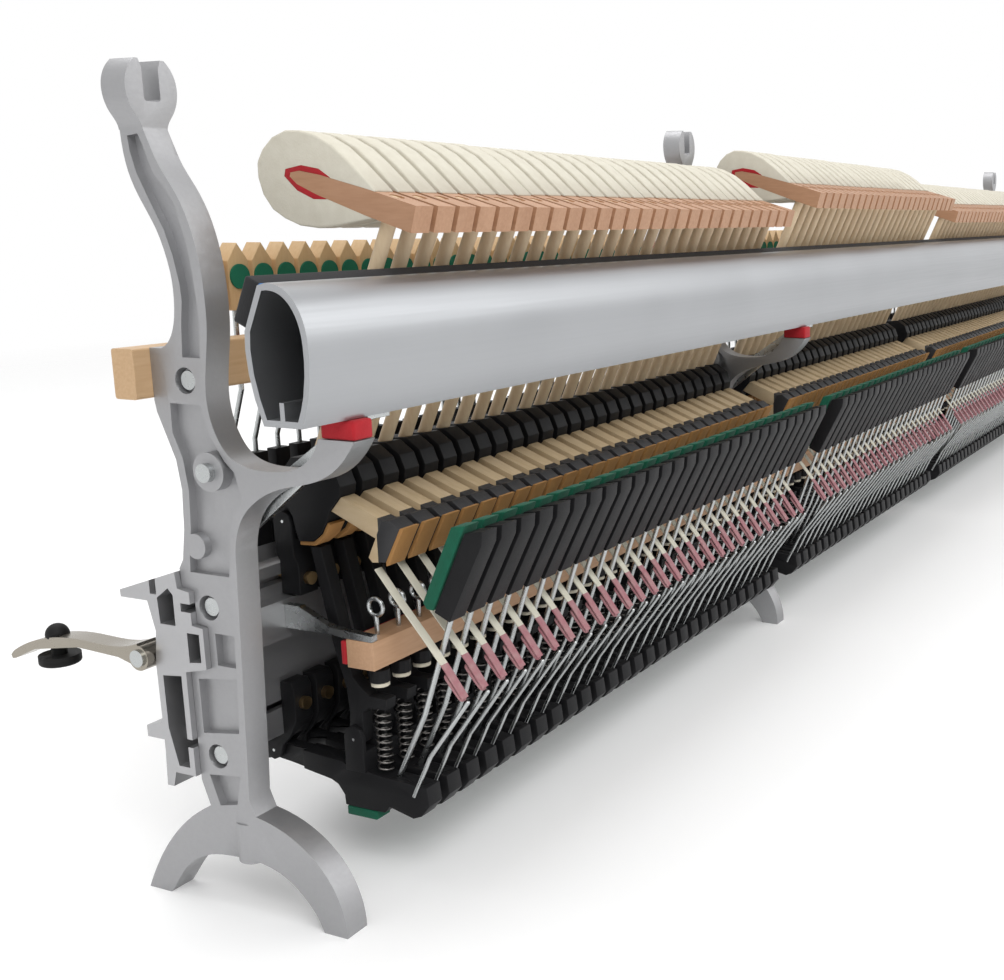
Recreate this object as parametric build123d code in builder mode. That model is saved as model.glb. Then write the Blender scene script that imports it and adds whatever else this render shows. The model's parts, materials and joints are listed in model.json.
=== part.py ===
"""Upright piano action: 88 notes on three cast brackets.

X runs along the action from bass to treble, -Y faces the player, +Y the strings, +Z up.
The origin is on the floor under the middle plane of the bass bracket.
Outlines are (Y, Z) points in millimetres, drawn on planes square to X.
"""

from build123d import *
from math import cos, radians, sin
import os

os.makedirs("parts", exist_ok=True)

# Note layout along the action
PITCH = 13.35
FIRST_NOTE = 44.2
BASS_NOTES = 28
TENOR_NOTES = 25
TREBLE_NOTES = 35
BRACKET_BREAK = 41.1
PLAIN_BREAK = 38.0
DAMPED_NOTES = 68
BRACKET_AFTER_TREBLE = 20.0

# Clearances
RUN = 0.1
SEAT = 0.1
SOFT = 0.3
SIDE = 0.3
PRESS = 0.02
FELT_GAP = 0.05

# Centres of rotation (Y, Z)
WIPPEN_CENTRE = (-3.0, 47.6)
JACK_CENTRE = (-47.5, 59.7)
BUTT_CENTRE = (-18.0, 151.0)
DAMPER_CENTRE = (25.5, 143.0)
ROD_CENTRE = (11.5, 104.0)

# Centre pins, tongues and forks
PIN_RADIUS = 0.65
FLANGE_WIDTH = 10.2
TONGUE_WIDTH = 5.0
FORK_SLOT = TONGUE_WIDTH + 2 * SIDE
JACK_WIDTH = 6.0
JACK_SLOT = JACK_WIDTH + 2 * SIDE

# Cast brackets
BRACKET_WIDTH = 11.0
WEB_WIDTH = 4.4
FORK_BACK = 0.3
FORK_THICKNESS = 11.8
BOLT_SLOT = 7.2
BOLT_SLOT_BOTTOM = 315.4
BOLT_SLOT_CORNER = 1.2
BALL_AXIS_Y = -29.4
BALL_BORE_RADIUS = 3.5
BALL_BORE_DEPTH = 12.0
BALL_BOSS_RADIUS = 6.5
BALL_BOSS_TOP = 38.7
ARCH_TOP = 22.0
SIDE_HOLES = ((-20.7, 214.8), (-22.1, 127.0), (-19.7, 65.6))
SIDE_BOSS = (-29.6, 181.1)
SIDE_BOSS_RADIUS = 7.5
SIDE_BOSS_PROUD = 1.5
COUNTERBORE_RADIUS = 5.0
COUNTERBORE_DEPTH = 4.0
SIDE_SCREW_RADIUS = 2.0
SIDE_SCREW_HEAD_RADIUS = 3.6
SIDE_SCREW_HEAD_HEIGHT = 2.6

# Rails
MAIN_RAIL_OVERHANG = 8.0
STOP_RAIL_OVERHANG = 13.0
STOP_RAIL_FACE = -4.0
STOP_RAIL_THICKNESS = 11.0
STOP_RAIL_BOTTOM = 207.5
STOP_RAIL_HEIGHT = 19.0
STOP_FELT_THICKNESS = 2.2
STOP_FELT_HEIGHT = 14.0
HAMMER_RAIL_OVERHANG = 27.0
RAIL_FELT_THICKNESS = 7.5
RAIL_FELT_START = 70.0
RAIL_FELT_END = 87.0
ROD_RADIUS = 3.5
ROD_START = -12.5
ROD_BAR_START = 51.5
ROD_BAR_TIP = (21.9, 90.0)
LETOFF_START = 34.0
LETOFF_TREBLE_GAP = 9.7
LETOFF_FACE = -52.0
LETOFF_DEPTH = 13.7
LETOFF_BOTTOM = 94.0
LETOFF_HEIGHT = 12.0
LETOFF_FELT_THICKNESS = 2.8
LETOFF_Y = -59.5
LETOFF_SCREW_RADIUS = 1.0
LETOFF_RING_Z = 117.7
LETOFF_RING_RADIUS = 3.6
LETOFF_RING_WIRE = 0.9
BUTTON_RADIUS = 4.2
BUTTON_TOP = 91.4
BUTTON_HEIGHT = 5.6
BUTTON_FELT_HEIGHT = 1.8

# Wooden flanges and their screws
GROOVE_HEIGHT = 3.4
SCREW_RADIUS = 1.5
SCREW_HEAD_RADIUS = 2.8
SCREW_HEAD_HEIGHT = 2.2
BUTT_SCREW_Z = 126.5
BUTT_GROOVE_DEPTH = 5.0
WIPPEN_SCREW_Z = 70.0
WIPPEN_GROOVE_DEPTH = 3.5
DAMPER_SCREW_Y = 4.0
DAMPER_GROOVE_DEPTH = 6.0
BUTT_FLANGE_THICKNESS = 9.9
WIPPEN_FLANGE_THICKNESS = 7.4
DAMPER_FLANGE_TOP = 148.2

# Hammers
SHANK_RADIUS = 2.85
SHANK_LEAN = 24.5
SHANK_FOOT = (-35.0, 177.4)
SHANK_SOCKET = 12.0
SHANK_TO_HEAD = 109.9
SHANK_PAST_AXIS = 4.3
HEAD_THICKNESS = 10.5
HEAD_TILT = 16.5
HEAD_TO_SHANK = 13.8
HEAD_NOSE = 76.9
FELT_DEPTH = 16.9
UNDERFELT_DEPTH = 2.6
TENOR_REACH = 13.0
TREBLE_REACH = 1.5
SMALLEST_FELT = 0.55
NOTES_PER_SIZE = 8
NARROWING = 3.0
BUTT_WIDTH = 9.6
CATCHER_WIDTH = 10.0
CATCHER_NECK_WIDTH = 8.0

# Wippens
WIPPEN_WIDTH = 8.6
BACKCHECK_WIDTH = 10.0
BACKCHECK_WIRE_RADIUS = 1.15
BRIDLE_WIRE_RADIUS = 0.9
BRIDLE_SIDE = -3.8
STRAP_WIDTH = 4.0
SPOON_RADIUS = 1.2
SPOON_Y = 17.25
SPOON_TOP = 82.0
SPRING_Y = -59.5
SPRING_RADIUS = 3.0
SPRING_WIRE = 0.45
SPRING_TURNS = 9
SPRING_FLOOR = 46.0
SPRING_TOP = 73.6

# Dampers
LEVER_WIDTH = 8.6
LEVER_PLAYER_FACE = 22.7
LEVER_STRING_FACE = 28.0
DAMPER_WIRE_RADIUS = 1.1
DAMPER_WIRE_Y = 17.0
DAMPER_BLOCK_FACE = 13.0
DAMPER_BLOCK_THICKNESS = 8.0
DAMPER_BLOCK_WIDTH = 11.0
DAMPER_BLOCK_BOTTOM = 236.0
DAMPER_SHOULDER = 256.5
DAMPER_APEX = 264.0
DAMPER_FELT_THICKNESS = 9.6
DAMPER_FELT_WIDTH = 10.4
DAMPER_FELT_BOTTOM = 238.0
DAMPER_FELT_TOP = 258.0
DISC_RADIUS = 5.2
DISC_THICKNESS = 0.8
DISC_Z = 250.0


def note_positions():
    """X of each note's middle, bass to treble, with the two breaks."""
    spots = []
    start = FIRST_NOTE
    sections = ((BASS_NOTES, BRACKET_BREAK), (TENOR_NOTES, PLAIN_BREAK), (TREBLE_NOTES, 0.0))
    for count, gap_after in sections:
        spots += [start + PITCH * i for i in range(count)]
        start = spots[-1] + gap_after
    return spots


NOTES = note_positions()
BASS_END = NOTES[BASS_NOTES - 1]
TENOR_START = NOTES[BASS_NOTES]
TENOR_END = NOTES[BASS_NOTES + TENOR_NOTES - 1]
TREBLE_START = NOTES[BASS_NOTES + TENOR_NOTES]
BRACKETS = (0.0, BASS_END + BRACKET_BREAK / 2, NOTES[-1] + BRACKET_AFTER_TREBLE)
LETOFF_END = BRACKETS[2] - LETOFF_TREBLE_GAP

SHANK_DIRECTION = (-sin(radians(SHANK_LEAN)), cos(radians(SHANK_LEAN)))


def along_shank(distance, aside=0.0):
    """Point that far up the shank from its foot and that far from its axis towards the player."""
    y = SHANK_FOOT[0] + SHANK_DIRECTION[0] * distance - SHANK_DIRECTION[1] * aside
    z = SHANK_FOOT[1] + SHANK_DIRECTION[1] * distance + SHANK_DIRECTION[0] * aside
    return (y, z)


def plate(points, width, middle=0.0):
    """Solid of constant width in X from a closed outline of straight lines."""
    with BuildPart() as body:
        with BuildSketch(Plane.YZ.offset(middle - width / 2)):
            with BuildLine():
                Polyline(*points, close=True)
            make_face()
        extrude(amount=width)
    return body.part


def contour(runs, width, middle=0.0):
    """Solid of constant width in X from runs of points, each drawn as a Spline or a Polyline."""
    with BuildPart() as body:
        with BuildSketch(Plane.YZ.offset(middle - width / 2)):
            with BuildLine():
                for (kind, points), (_, following) in zip(runs, runs[1:] + runs[:1]):
                    kind(*points)
                    if points[-1] != following[0]:
                        Line(points[-1], following[0])
            make_face()
        extrude(amount=width)
    return body.part


def pin(start, end, radius):
    """Round bar between two (X, Y, Z) points."""
    span = Vector(*end) - Vector(*start)
    with BuildPart(Plane(origin=start, z_dir=span.normalized())) as body:
        Cylinder(radius, span.length, align=(Align.CENTER, Align.CENTER, Align.MIN))
    return body.part


def wire(points, radius):
    """Round wire along (X, Y, Z) points with a ball at each bend."""
    with BuildPart() as body:
        for start, end in zip(points, points[1:]):
            add(pin(start, end, radius))
        for bend in points[1:-1]:
            with Locations(bend):
                Sphere(radius)
    return body.part


def group(solids):
    """Separate solids that share one node."""
    return Compound(children=list(solids))


def row(piece, spots):
    """The same piece at each X in spots, as separate solids."""
    return group([solid.moved(Location((x, 0, 0))) for x in spots for solid in piece.solids()])


def save(shape, name):
    """Label a piece and write it."""
    shape.label = name
    export_step(shape, f"parts/{name}.step")


# Brackets

STOP_SEAT = STOP_RAIL_FACE - SEAT
STOP_SEAT_TOP = STOP_RAIL_BOTTOM + STOP_RAIL_HEIGHT
NECK_STRING_SIDE = [
    (0.0, 308.1), (-0.3, 301.2), (-2.2, 290.9), (-7.3, 280.2), (-13.2, 270.4), (-16.8, 261.0),
    (-18.8, 251.0), (-18.9, 245.0), (-17.2, 234.6), (-13.6, 228.6), (-10.1, STOP_SEAT_TOP),
]
COLUMN_STRING_SIDE = [
    (-10.1, STOP_SEAT_TOP), (STOP_SEAT, STOP_SEAT_TOP), (STOP_SEAT, STOP_RAIL_BOTTOM - 1.0),
    (-4.9, 202.3), (-8.4, 193.7), (-12.3, 184.4), (-13.9, 172.9), (-13.0, 157.2), (-10.9, 145.1),
    (-8.6, 141.4), (-9.1, 134.1), (-15.1, 133.1), (-15.1, 119.9), (-20.6, 119.15),
    (-20.6, 102.4), (-9.6, 99.9), (-9.6, 54.0),
]
STRING_FOOT = [(-13.2, 43.6), (-3.0, 37.2), (6.4, 29.0), (17.8, 14.5), (25.7, 0.0)]
ARCH = [
    (13.6, 0.0), (9.8, 5.0), (3.0, 13.6), (-5.1, 19.4), (-12.5, 22.2), (-22.7, 23.5),
    (-39.9, 23.0), (-49.8, 19.6), (-59.1, 12.6), (-64.9, 5.2), (-67.2, 0.0),
]
PLAYER_FOOT = [
    (-78.7, 0.0), (-77.3, 11.0), (-72.3, 21.9), (-63.9, 31.2), (-54.0, 37.6), (-36.7, 42.9),
]
COLUMN_PLAYER_SIDE = [(-33.9, 50.0), (-34.6, 62.0), (-38.0, 148.2)]
HORN_UNDERSIDE = [
    (-38.0, 148.2), (-39.4, 156.9), (-42.9, 164.2), (-49.2, 170.5), (-59.2, 175.9),
    (-69.5, 178.6), (-79.2, 181.0), (-87.9, 185.4), (-94.2, 191.3), (-98.2, 196.9),
]
HORN_TOP = [
    (-82.0, 196.9), (-77.6, 189.6), (-70.3, 184.9), (-60.0, 183.2), (-49.5, 183.5),
    (-40.1, 186.8), (-33.4, 195.4), (-30.4, 208.2), (-32.0, 223.1), (-33.7, 234.0),
    (-34.0, 244.9), (-33.3, 255.7), (-31.3, 266.3), (-27.8, 276.5), (-22.6, 285.6),
    (-17.4, 293.0), (-14.2, 299.5), (-11.8, 305.0), (-9.9, 309.5),
]
FORK_CHEEK = [
    (5.5, 305.5), (6.5, 308.4), (8.8, 311.6), (10.6, 315.4), (11.3, 319.8), (10.6, 324.2),
    (8.8, 327.6), (6.4, 330.1),
]
FORK_TIP = [(6.4, 330.1), (4.8, 330.1), (BOLT_SLOT / 2, 327.0)]
NECK_POCKET = [
    (-3.4, 303.4), (-4.0, 298.0), (-6.2, 290.4), (-11.3, 280.5), (-17.3, 269.5), (-20.3, 260.5),
    (-22.4, 250.6), (-22.7, 244.4), (-21.3, 235.0), (-20.4, 223.5), (-29.0, 223.5), (-30.2, 236.0), (-29.9, 245.0),
    (-29.0, 255.0), (-27.5, 265.0), (-23.0, 279.5), (-19.0, 285.0), (-14.5, 290.0), (-12.4, 295.0),
    (-10.8, 299.5), (-8.6, 304.0),
]
COLUMN_POCKET = [
    (-12.0, 206.0), (-11.8, 194.8), (-15.8, 185.2), (-17.4, 173.0), (-16.5, 157.8), (-14.6, 146.5),
    (-14.2, 140.5), (-33.9, 140.5), (-35.0, 149.0), (-36.3, 158.0), (-38.9, 165.4), (-43.5, 171.5),
    (-41.0, 181.5), (-36.5, 185.5), (-29.4, 196.3), (-27.2, 206.0),
]
SMALL_POCKET = [(-24.0, 117.0), (-33.8, 117.0), (-33.2, 104.0), (-24.0, 104.0)]
MIDDLE_POCKET = [(-13.2, 97.0), (-33.0, 99.5), (-31.8, 77.0), (-13.2, 74.5)]
LOW_POCKET = [(-14.2, 57.0), (-30.5, 59.0), (-27.5, 46.5), (-18.5, 44.5)]


def fork():
    """Open-ended head of the bracket, which holds the stem of the action bolt."""
    tip = FORK_TIP + [(BOLT_SLOT / 2, BOLT_SLOT_BOTTOM)]
    with BuildPart() as body:
        with BuildSketch(Plane.XZ.offset(-FORK_BACK)) as face:
            with BuildLine():
                Spline(*FORK_CHEEK)
                Polyline(*tip)
                Line(tip[-1], (-tip[-1][0], tip[-1][1]))
                Polyline(*[(-x, z) for x, z in reversed(tip)])
                Spline(*[(-x, z) for x, z in reversed(FORK_CHEEK)])
                Line((-FORK_CHEEK[0][0], FORK_CHEEK[0][1]), FORK_CHEEK[0])
            make_face()
            slot_corners = face.vertices().filter_by_position(
                Axis.Y, BOLT_SLOT_BOTTOM - SEAT, BOLT_SLOT_BOTTOM + SEAT,
            )
            fillet(slot_corners, BOLT_SLOT_CORNER)
        extrude(amount=FORK_THICKNESS)
    return body.part


def bracket():
    """Casting with an I section: forked head, neck, horn, column and two arched feet."""
    silhouette = [
        (Spline, NECK_STRING_SIDE), (Polyline, COLUMN_STRING_SIDE), (Spline, STRING_FOOT),
        (Spline, ARCH), (Spline, PLAYER_FOOT), (Polyline, COLUMN_PLAYER_SIDE),
        (Spline, HORN_UNDERSIDE), (Spline, HORN_TOP),
    ]
    pocket_depth = (BRACKET_WIDTH - WEB_WIDTH) / 2
    pocket_middle = (WEB_WIDTH + pocket_depth) / 2
    with BuildPart() as body:
        add(contour(silhouette, BRACKET_WIDTH))
        add(fork())
        for outline in (NECK_POCKET, COLUMN_POCKET, SMALL_POCKET, MIDDLE_POCKET, LOW_POCKET):
            for side in (-1, 1):
                add(plate(outline, pocket_depth, side * pocket_middle), mode=Mode.SUBTRACT)
        boss_width = BRACKET_WIDTH / 2 + SIDE_BOSS_PROUD
        add(pin((-boss_width, *SIDE_BOSS), (0, *SIDE_BOSS), SIDE_BOSS_RADIUS))
        half = BRACKET_WIDTH / 2
        add(pin((-half, *BUTT_CENTRE), (half, *BUTT_CENTRE), COUNTERBORE_RADIUS))
        with Locations((0, BALL_AXIS_Y, ARCH_TOP)):
            Cylinder(
                BALL_BOSS_RADIUS, BALL_BOSS_TOP - ARCH_TOP,
                align=(Align.CENTER, Align.CENTER, Align.MIN),
            )
            Cylinder(
                BALL_BORE_RADIUS, BALL_BORE_DEPTH,
                align=(Align.CENTER, Align.CENTER, Align.MIN), mode=Mode.SUBTRACT,
            )
        for y, z in SIDE_HOLES:
            add(pin((-half, y, z), (half, y, z), SIDE_SCREW_RADIUS + RUN), mode=Mode.SUBTRACT)
            bottom = -half + COUNTERBORE_DEPTH
            add(pin((-half, y, z), (bottom, y, z), COUNTERBORE_RADIUS), mode=Mode.SUBTRACT)
        reach = (0, *SIDE_BOSS)
        add(pin((-boss_width, *SIDE_BOSS), reach, SIDE_SCREW_RADIUS + RUN), mode=Mode.SUBTRACT)
        pivot = (half, *BUTT_CENTRE)
        add(pin((0, *BUTT_CENTRE), pivot, SIDE_SCREW_RADIUS + RUN), mode=Mode.SUBTRACT)
    return body.part


def side_screws():
    """Cheese-headed screws in the bracket's counterbores and boss."""
    half = BRACKET_WIDTH / 2
    seat = -half + COUNTERBORE_DEPTH
    proud = -half - SIDE_BOSS_PROUD
    with BuildPart() as body:
        for y, z in SIDE_HOLES:
            add(pin((seat, y, z), (half, y, z), SIDE_SCREW_RADIUS))
            add(pin((seat - SIDE_SCREW_HEAD_HEIGHT, y, z), (seat, y, z), SIDE_SCREW_HEAD_RADIUS))
        y, z = SIDE_BOSS
        add(pin((proud, y, z), (-RUN, y, z), SIDE_SCREW_RADIUS))
        add(pin((proud - SIDE_SCREW_HEAD_HEIGHT, y, z), (proud, y, z), SIDE_SCREW_HEAD_RADIUS))
    return body.part


casting = bracket()
for label, x in zip(("bracket_bass", "bracket_middle", "bracket_treble"), BRACKETS):
    save(row(casting, (x,)), label)

# Main rail

UPPER_FACE = -15.0
LOWER_FACE = -9.5
FIN_BACK = (22.0, 130.1)
FIN_FRONT = (-8.3, 140.4)
MAIN_RAIL = [
    (LOWER_FACE, 56.3), (1.2, 56.3), (3.0, 50.0), (6.5, 50.0), (5.8, 64.2), (5.8, 69.5),
    (14.8, 69.5), (14.8, 74.3), (7.9, 76.0), (5.8, 77.0), (6.2, 101.4), (4.5, 115.0), (7.6, 127.2),
    (21.8, 127.2), FIN_BACK, FIN_FRONT, (-9.0, 134.0), (UPPER_FACE, 133.0), (UPPER_FACE, 119.7),
    (-20.5, 119.0), (-20.5, 102.5), (LOWER_FACE, 100.0),
]
UPPER_CHANNEL = [(2.2, 129.0), (1.6, 118.5), (-6.4, 118.5), (-6.4, 131.0), (-4.0, 133.5)]
FRONT_CHANNEL = [(-18.2, 116.4), (-18.2, 105.0), (-12.0, 104.2), (-12.0, 116.4)]
LOWER_CHANNEL = [(3.0, 97.0), (-6.8, 98.0), (-6.8, 59.5), (-1.0, 59.5), (2.8, 75.0)]
FIN_SLOPE = (FIN_BACK[1] - FIN_FRONT[1]) / (FIN_BACK[0] - FIN_FRONT[0])


def fin_top(y):
    """Height of the rail's sloping top at a given Y."""
    return FIN_FRONT[1] + FIN_SLOPE * (y - FIN_FRONT[0])


DAMPER_GROOVE_FLOOR = fin_top(DAMPER_SCREW_Y) - DAMPER_GROOVE_DEPTH


def face_groove(face, depth, middle):
    """Outline of the screw groove cut into a rail face that looks at the player."""
    low, high = middle - GROOVE_HEIGHT / 2, middle + GROOVE_HEIGHT / 2
    return [(face - 1.0, low), (face + depth, low), (face + depth, high), (face - 1.0, high)]


def main_rail():
    """Hollow extruded rail with grooves for the flange screws."""
    start = -MAIN_RAIL_OVERHANG
    length = BRACKETS[2] + 2 * MAIN_RAIL_OVERHANG
    middle = start + length / 2
    near, far = DAMPER_SCREW_Y - GROOVE_HEIGHT / 2, DAMPER_SCREW_Y + GROOVE_HEIGHT / 2
    top = fin_top(near) + 1.0
    grooves = (
        face_groove(UPPER_FACE, BUTT_GROOVE_DEPTH, BUTT_SCREW_Z),
        face_groove(LOWER_FACE, WIPPEN_GROOVE_DEPTH, WIPPEN_SCREW_Z),
        [(near, DAMPER_GROOVE_FLOOR), (far, DAMPER_GROOVE_FLOOR), (far, top), (near, top)],
    )
    with BuildPart() as body:
        add(plate(MAIN_RAIL, length, middle))
        for hollow in (UPPER_CHANNEL, FRONT_CHANNEL, LOWER_CHANNEL, *grooves):
            add(plate(hollow, length, middle), mode=Mode.SUBTRACT)
    return body.part


save(main_rail(), "main_rail")

# Damper stop rail

rail_length = BRACKETS[2] + 2 * STOP_RAIL_OVERHANG
with BuildPart() as stop_rail:
    with Locations((-STOP_RAIL_OVERHANG, STOP_RAIL_FACE, STOP_RAIL_BOTTOM)):
        Box(rail_length, STOP_RAIL_THICKNESS, STOP_RAIL_HEIGHT, align=Align.MIN)
    fillet(stop_rail.edges().filter_by(Axis.X), 1.2)
save(stop_rail.part, "damper_stop_rail")


# Rail felts

FELT_RUNS = ((34.0, BASS_END + 7.0), (TENOR_START - 7.0, NOTES[DAMPED_NOTES - 1] + 7.0))
stop_face = STOP_RAIL_FACE + STOP_RAIL_THICKNESS + SEAT
felt_low = STOP_RAIL_BOTTOM + (STOP_RAIL_HEIGHT - STOP_FELT_HEIGHT) / 2
with BuildPart() as rail_felts:
    for start, end in FELT_RUNS:
        with Locations((start, stop_face, felt_low)):
            Box(end - start, STOP_FELT_THICKNESS, STOP_FELT_HEIGHT, align=Align.MIN)
    with Locations((LETOFF_START, LETOFF_FACE + SEAT, LETOFF_BOTTOM + 1.0)):
        Box(
            LETOFF_END - LETOFF_START, LETOFF_FELT_THICKNESS, LETOFF_HEIGHT - 2.0, align=Align.MIN,
        )
save(rail_felts.part, "rail_felts")

# Let-off rail, its screws and buttons

with BuildPart() as letoff_rail:
    with Locations((LETOFF_START, LETOFF_FACE - LETOFF_DEPTH, LETOFF_BOTTOM)):
        Box(LETOFF_END - LETOFF_START, LETOFF_DEPTH, LETOFF_HEIGHT, align=Align.MIN)
    with Locations([(x, LETOFF_Y, LETOFF_BOTTOM + LETOFF_HEIGHT) for x in NOTES]):
        Hole(LETOFF_SCREW_RADIUS + RUN, depth=LETOFF_HEIGHT)
save(letoff_rail.part, "letoff_rail")

ring_centre = (0, LETOFF_Y, LETOFF_RING_Z)
button_floor = BUTTON_TOP - BUTTON_HEIGHT
with BuildPart() as letoff_screw:
    with Locations(Plane(origin=ring_centre, z_dir=(1, 0, 0))):
        Torus(LETOFF_RING_RADIUS, LETOFF_RING_WIRE)
    ring_bottom = LETOFF_RING_Z - LETOFF_RING_RADIUS
    add(pin((0, LETOFF_Y, button_floor + 1.5), (0, LETOFF_Y, ring_bottom), LETOFF_SCREW_RADIUS))
save(row(letoff_screw.part, NOTES), "letoff_screws")

with BuildPart() as letoff_button:
    with BuildSketch(Plane.XY.offset(button_floor)):
        with Locations((0, LETOFF_Y)):
            RegularPolygon(BUTTON_RADIUS, 12)
            Circle(LETOFF_SCREW_RADIUS + RUN, mode=Mode.SUBTRACT)
    extrude(amount=BUTTON_HEIGHT)
save(row(letoff_button.part, NOTES), "letoff_buttons")

with BuildPart() as letoff_button_felt:
    with BuildSketch(Plane.XY.offset(button_floor - SEAT - BUTTON_FELT_HEIGHT)):
        with Locations((0, LETOFF_Y)):
            RegularPolygon(BUTTON_RADIUS - 0.3, 12)
    extrude(amount=BUTTON_FELT_HEIGHT)
save(row(letoff_button_felt.part, NOTES), "letoff_button_felts")

# Hangers from the main rail to the let-off rail, and saddles round the damper rod

HANGER_WIDTH = 3.4
HANGER_SPOTS = (
    LETOFF_START + 1.9, BASS_END + 7.5, TENOR_START - 7.5, TENOR_END + 7.5, TREBLE_START - 7.5,
    LETOFF_END - 1.9,
)
HANGER = [
    (-20.6, 117.0), (-20.6, 107.0), (-44.0, 107.0), (-51.0, 106.3), (-65.0, 106.1), (-65.0, 108.6),
    (-44.0, 110.0), (-28.0, 117.0),
]
SADDLE_SPOTS = (22.0, BASS_END + 20.0, TENOR_END + 19.0, NOTES[DAMPED_NOTES - 1] + 20.0)
SADDLE_WIDTH = 6.0
SADDLE = [
    (6.3, 101.5), (4.75, 114.0), (7.0, 118.0), (12.5, 112.5), (16.0, 108.0), (17.0, 103.0),
    (8.0, 98.0),
]
rod_y, rod_z = ROD_CENTRE
SADDLE_MOUTH = [(rod_y, rod_z), (24.0, rod_z), (24.0, 84.0), (8.0, 84.0), (8.0, 98.0)]
with BuildPart() as saddle:
    add(plate(SADDLE, SADDLE_WIDTH))
    rod_bore = pin((-SADDLE_WIDTH, rod_y, rod_z), (SADDLE_WIDTH, rod_y, rod_z), ROD_RADIUS + RUN)
    add(rod_bore, mode=Mode.SUBTRACT)
    add(plate(SADDLE_MOUTH, SADDLE_WIDTH), mode=Mode.SUBTRACT)
hangers = row(plate(HANGER, HANGER_WIDTH), HANGER_SPOTS)
saddles = row(saddle.part, SADDLE_SPOTS)
save(group(hangers.solids() + saddles.solids()), "rail_hangers")

# Damper rod and its lever

ROD_BAR = [(rod_y - 0.5, rod_z - 1.5), (rod_y + 2.6, rod_z), (22.3, 91.3), ROD_BAR_TIP, (20.4, 90.2)]
ROD_END = NOTES[DAMPED_NOTES - 1] + 32.0


def bar_runs():
    """Lengths of the rod's pushing bar, one between each two saddles."""
    edges = [ROD_BAR_START] + [x for spot in SADDLE_SPOTS[1:] for x in (spot - 5.0, spot + 5.0)]
    return list(zip(edges[0:-1:2], edges[1::2]))


with BuildPart() as damper_rod:
    add(pin((ROD_START, rod_y, rod_z), (ROD_END, rod_y, rod_z), ROD_RADIUS))
    for start, end in bar_runs():
        add(plate(ROD_BAR, end - start, (start + end) / 2))
save(damper_rod.part, "damper_rod")

ROD_LEVER_WIDTH = 9.0
ROD_LEVER_MIDDLE = -7.0
ROD_LEVER_HUB_RADIUS = 5.2
ROD_LEVER_TOP = [(rod_y, rod_z + 6.0), (22.8, 107.4), (45.0, 107.5), (71.1, 103.3), (83.5, 97.4)]
ROD_LEVER_END = [(85.3, 95.6), (84.6, 94.0), (82.6, 94.4)]
ROD_LEVER_UNDERSIDE = [(70.6, 99.8), (45.0, 104.0), (22.8, 103.0), (rod_y, rod_z - 4.0)]
GROMMET_Y = 62.0
GROMMET_BORE = 3.0
GROMMET_DISC_RADIUS = 8.0
GROMMET_DISC_Z = 93.7
GROMMET_DISC_THICKNESS = 4.0
GROMMET_DOME_RADIUS = 4.6
GROMMET_TOP = 108.4
with BuildPart() as rod_lever:
    corners = ROD_LEVER_END + ROD_LEVER_UNDERSIDE
    tongue = [(Spline, ROD_LEVER_TOP), (Polyline, corners)]
    add(contour(tongue, ROD_LEVER_WIDTH, ROD_LEVER_MIDDLE))
    low = ROD_LEVER_MIDDLE - ROD_LEVER_WIDTH / 2
    high = ROD_LEVER_MIDDLE + ROD_LEVER_WIDTH / 2
    add(pin((low, rod_y, rod_z), (high, rod_y, rod_z), ROD_LEVER_HUB_RADIUS))
    add(pin((low, rod_y, rod_z), (high, rod_y, rod_z), ROD_RADIUS + PRESS), mode=Mode.SUBTRACT)
    grommet_start = (ROD_LEVER_MIDDLE, GROMMET_Y, GROMMET_DISC_Z)
    grommet_end = (ROD_LEVER_MIDDLE, GROMMET_Y, GROMMET_TOP)
    add(pin(grommet_start, grommet_end, GROMMET_BORE + PRESS), mode=Mode.SUBTRACT)
save(rod_lever.part, "damper_rod_lever")

with BuildPart() as lever_button:
    upwards = (Align.CENTER, Align.CENTER, Align.MIN)
    with Locations(grommet_start):
        Cylinder(GROMMET_DISC_RADIUS, GROMMET_DISC_THICKNESS, align=upwards)
        Cylinder(GROMMET_BORE, GROMMET_TOP - GROMMET_DISC_Z, align=upwards)
    fillet(lever_button.edges().filter_by(GeomType.CIRCLE).group_by(Axis.Z)[0], 1.2)
    with Locations((ROD_LEVER_MIDDLE, GROMMET_Y, GROMMET_TOP - GROMMET_DOME_RADIUS / 2)):
        Sphere(GROMMET_DOME_RADIUS)
    add(rod_lever.part, mode=Mode.SUBTRACT)
save(lever_button.part, "damper_lever_button")

# Flanges fixed to the main rail

butt_y, butt_z = BUTT_CENTRE
BUTT_FLANGE_FRONT = UPPER_FACE - SEAT - BUTT_FLANGE_THICKNESS
BUTT_FLANGE = [
    (UPPER_FACE - SEAT, 119.8), (UPPER_FACE - SEAT, 134.0), (-13.4, 137.0), (-13.2, 151.0),
    (-14.6, 154.0), (-18.0, 155.4), (-21.4, 154.0), (-22.7, 150.5), (-22.8, 137.0),
    (BUTT_FLANGE_FRONT, 132.5), (BUTT_FLANGE_FRONT, 119.8),
]
wippen_y, wippen_z = WIPPEN_CENTRE
WIPPEN_FLANGE_FRONT = LOWER_FACE - SEAT - WIPPEN_FLANGE_THICKNESS
WIPPEN_FLANGE = [
    (LOWER_FACE - SEAT, 80.0), (-15.4, 80.0), (WIPPEN_FLANGE_FRONT, 77.0),
    (WIPPEN_FLANGE_FRONT, 62.5), (-13.2, 55.6), (-8.4, 50.5), (-6.6, 45.0), (-3.0, 43.3),
    (-0.2, 44.3), (1.0, 47.6), (0.7, 56.1), (LOWER_FACE - SEAT, 56.1),
]
damper_y, damper_z = DAMPER_CENTRE
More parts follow.
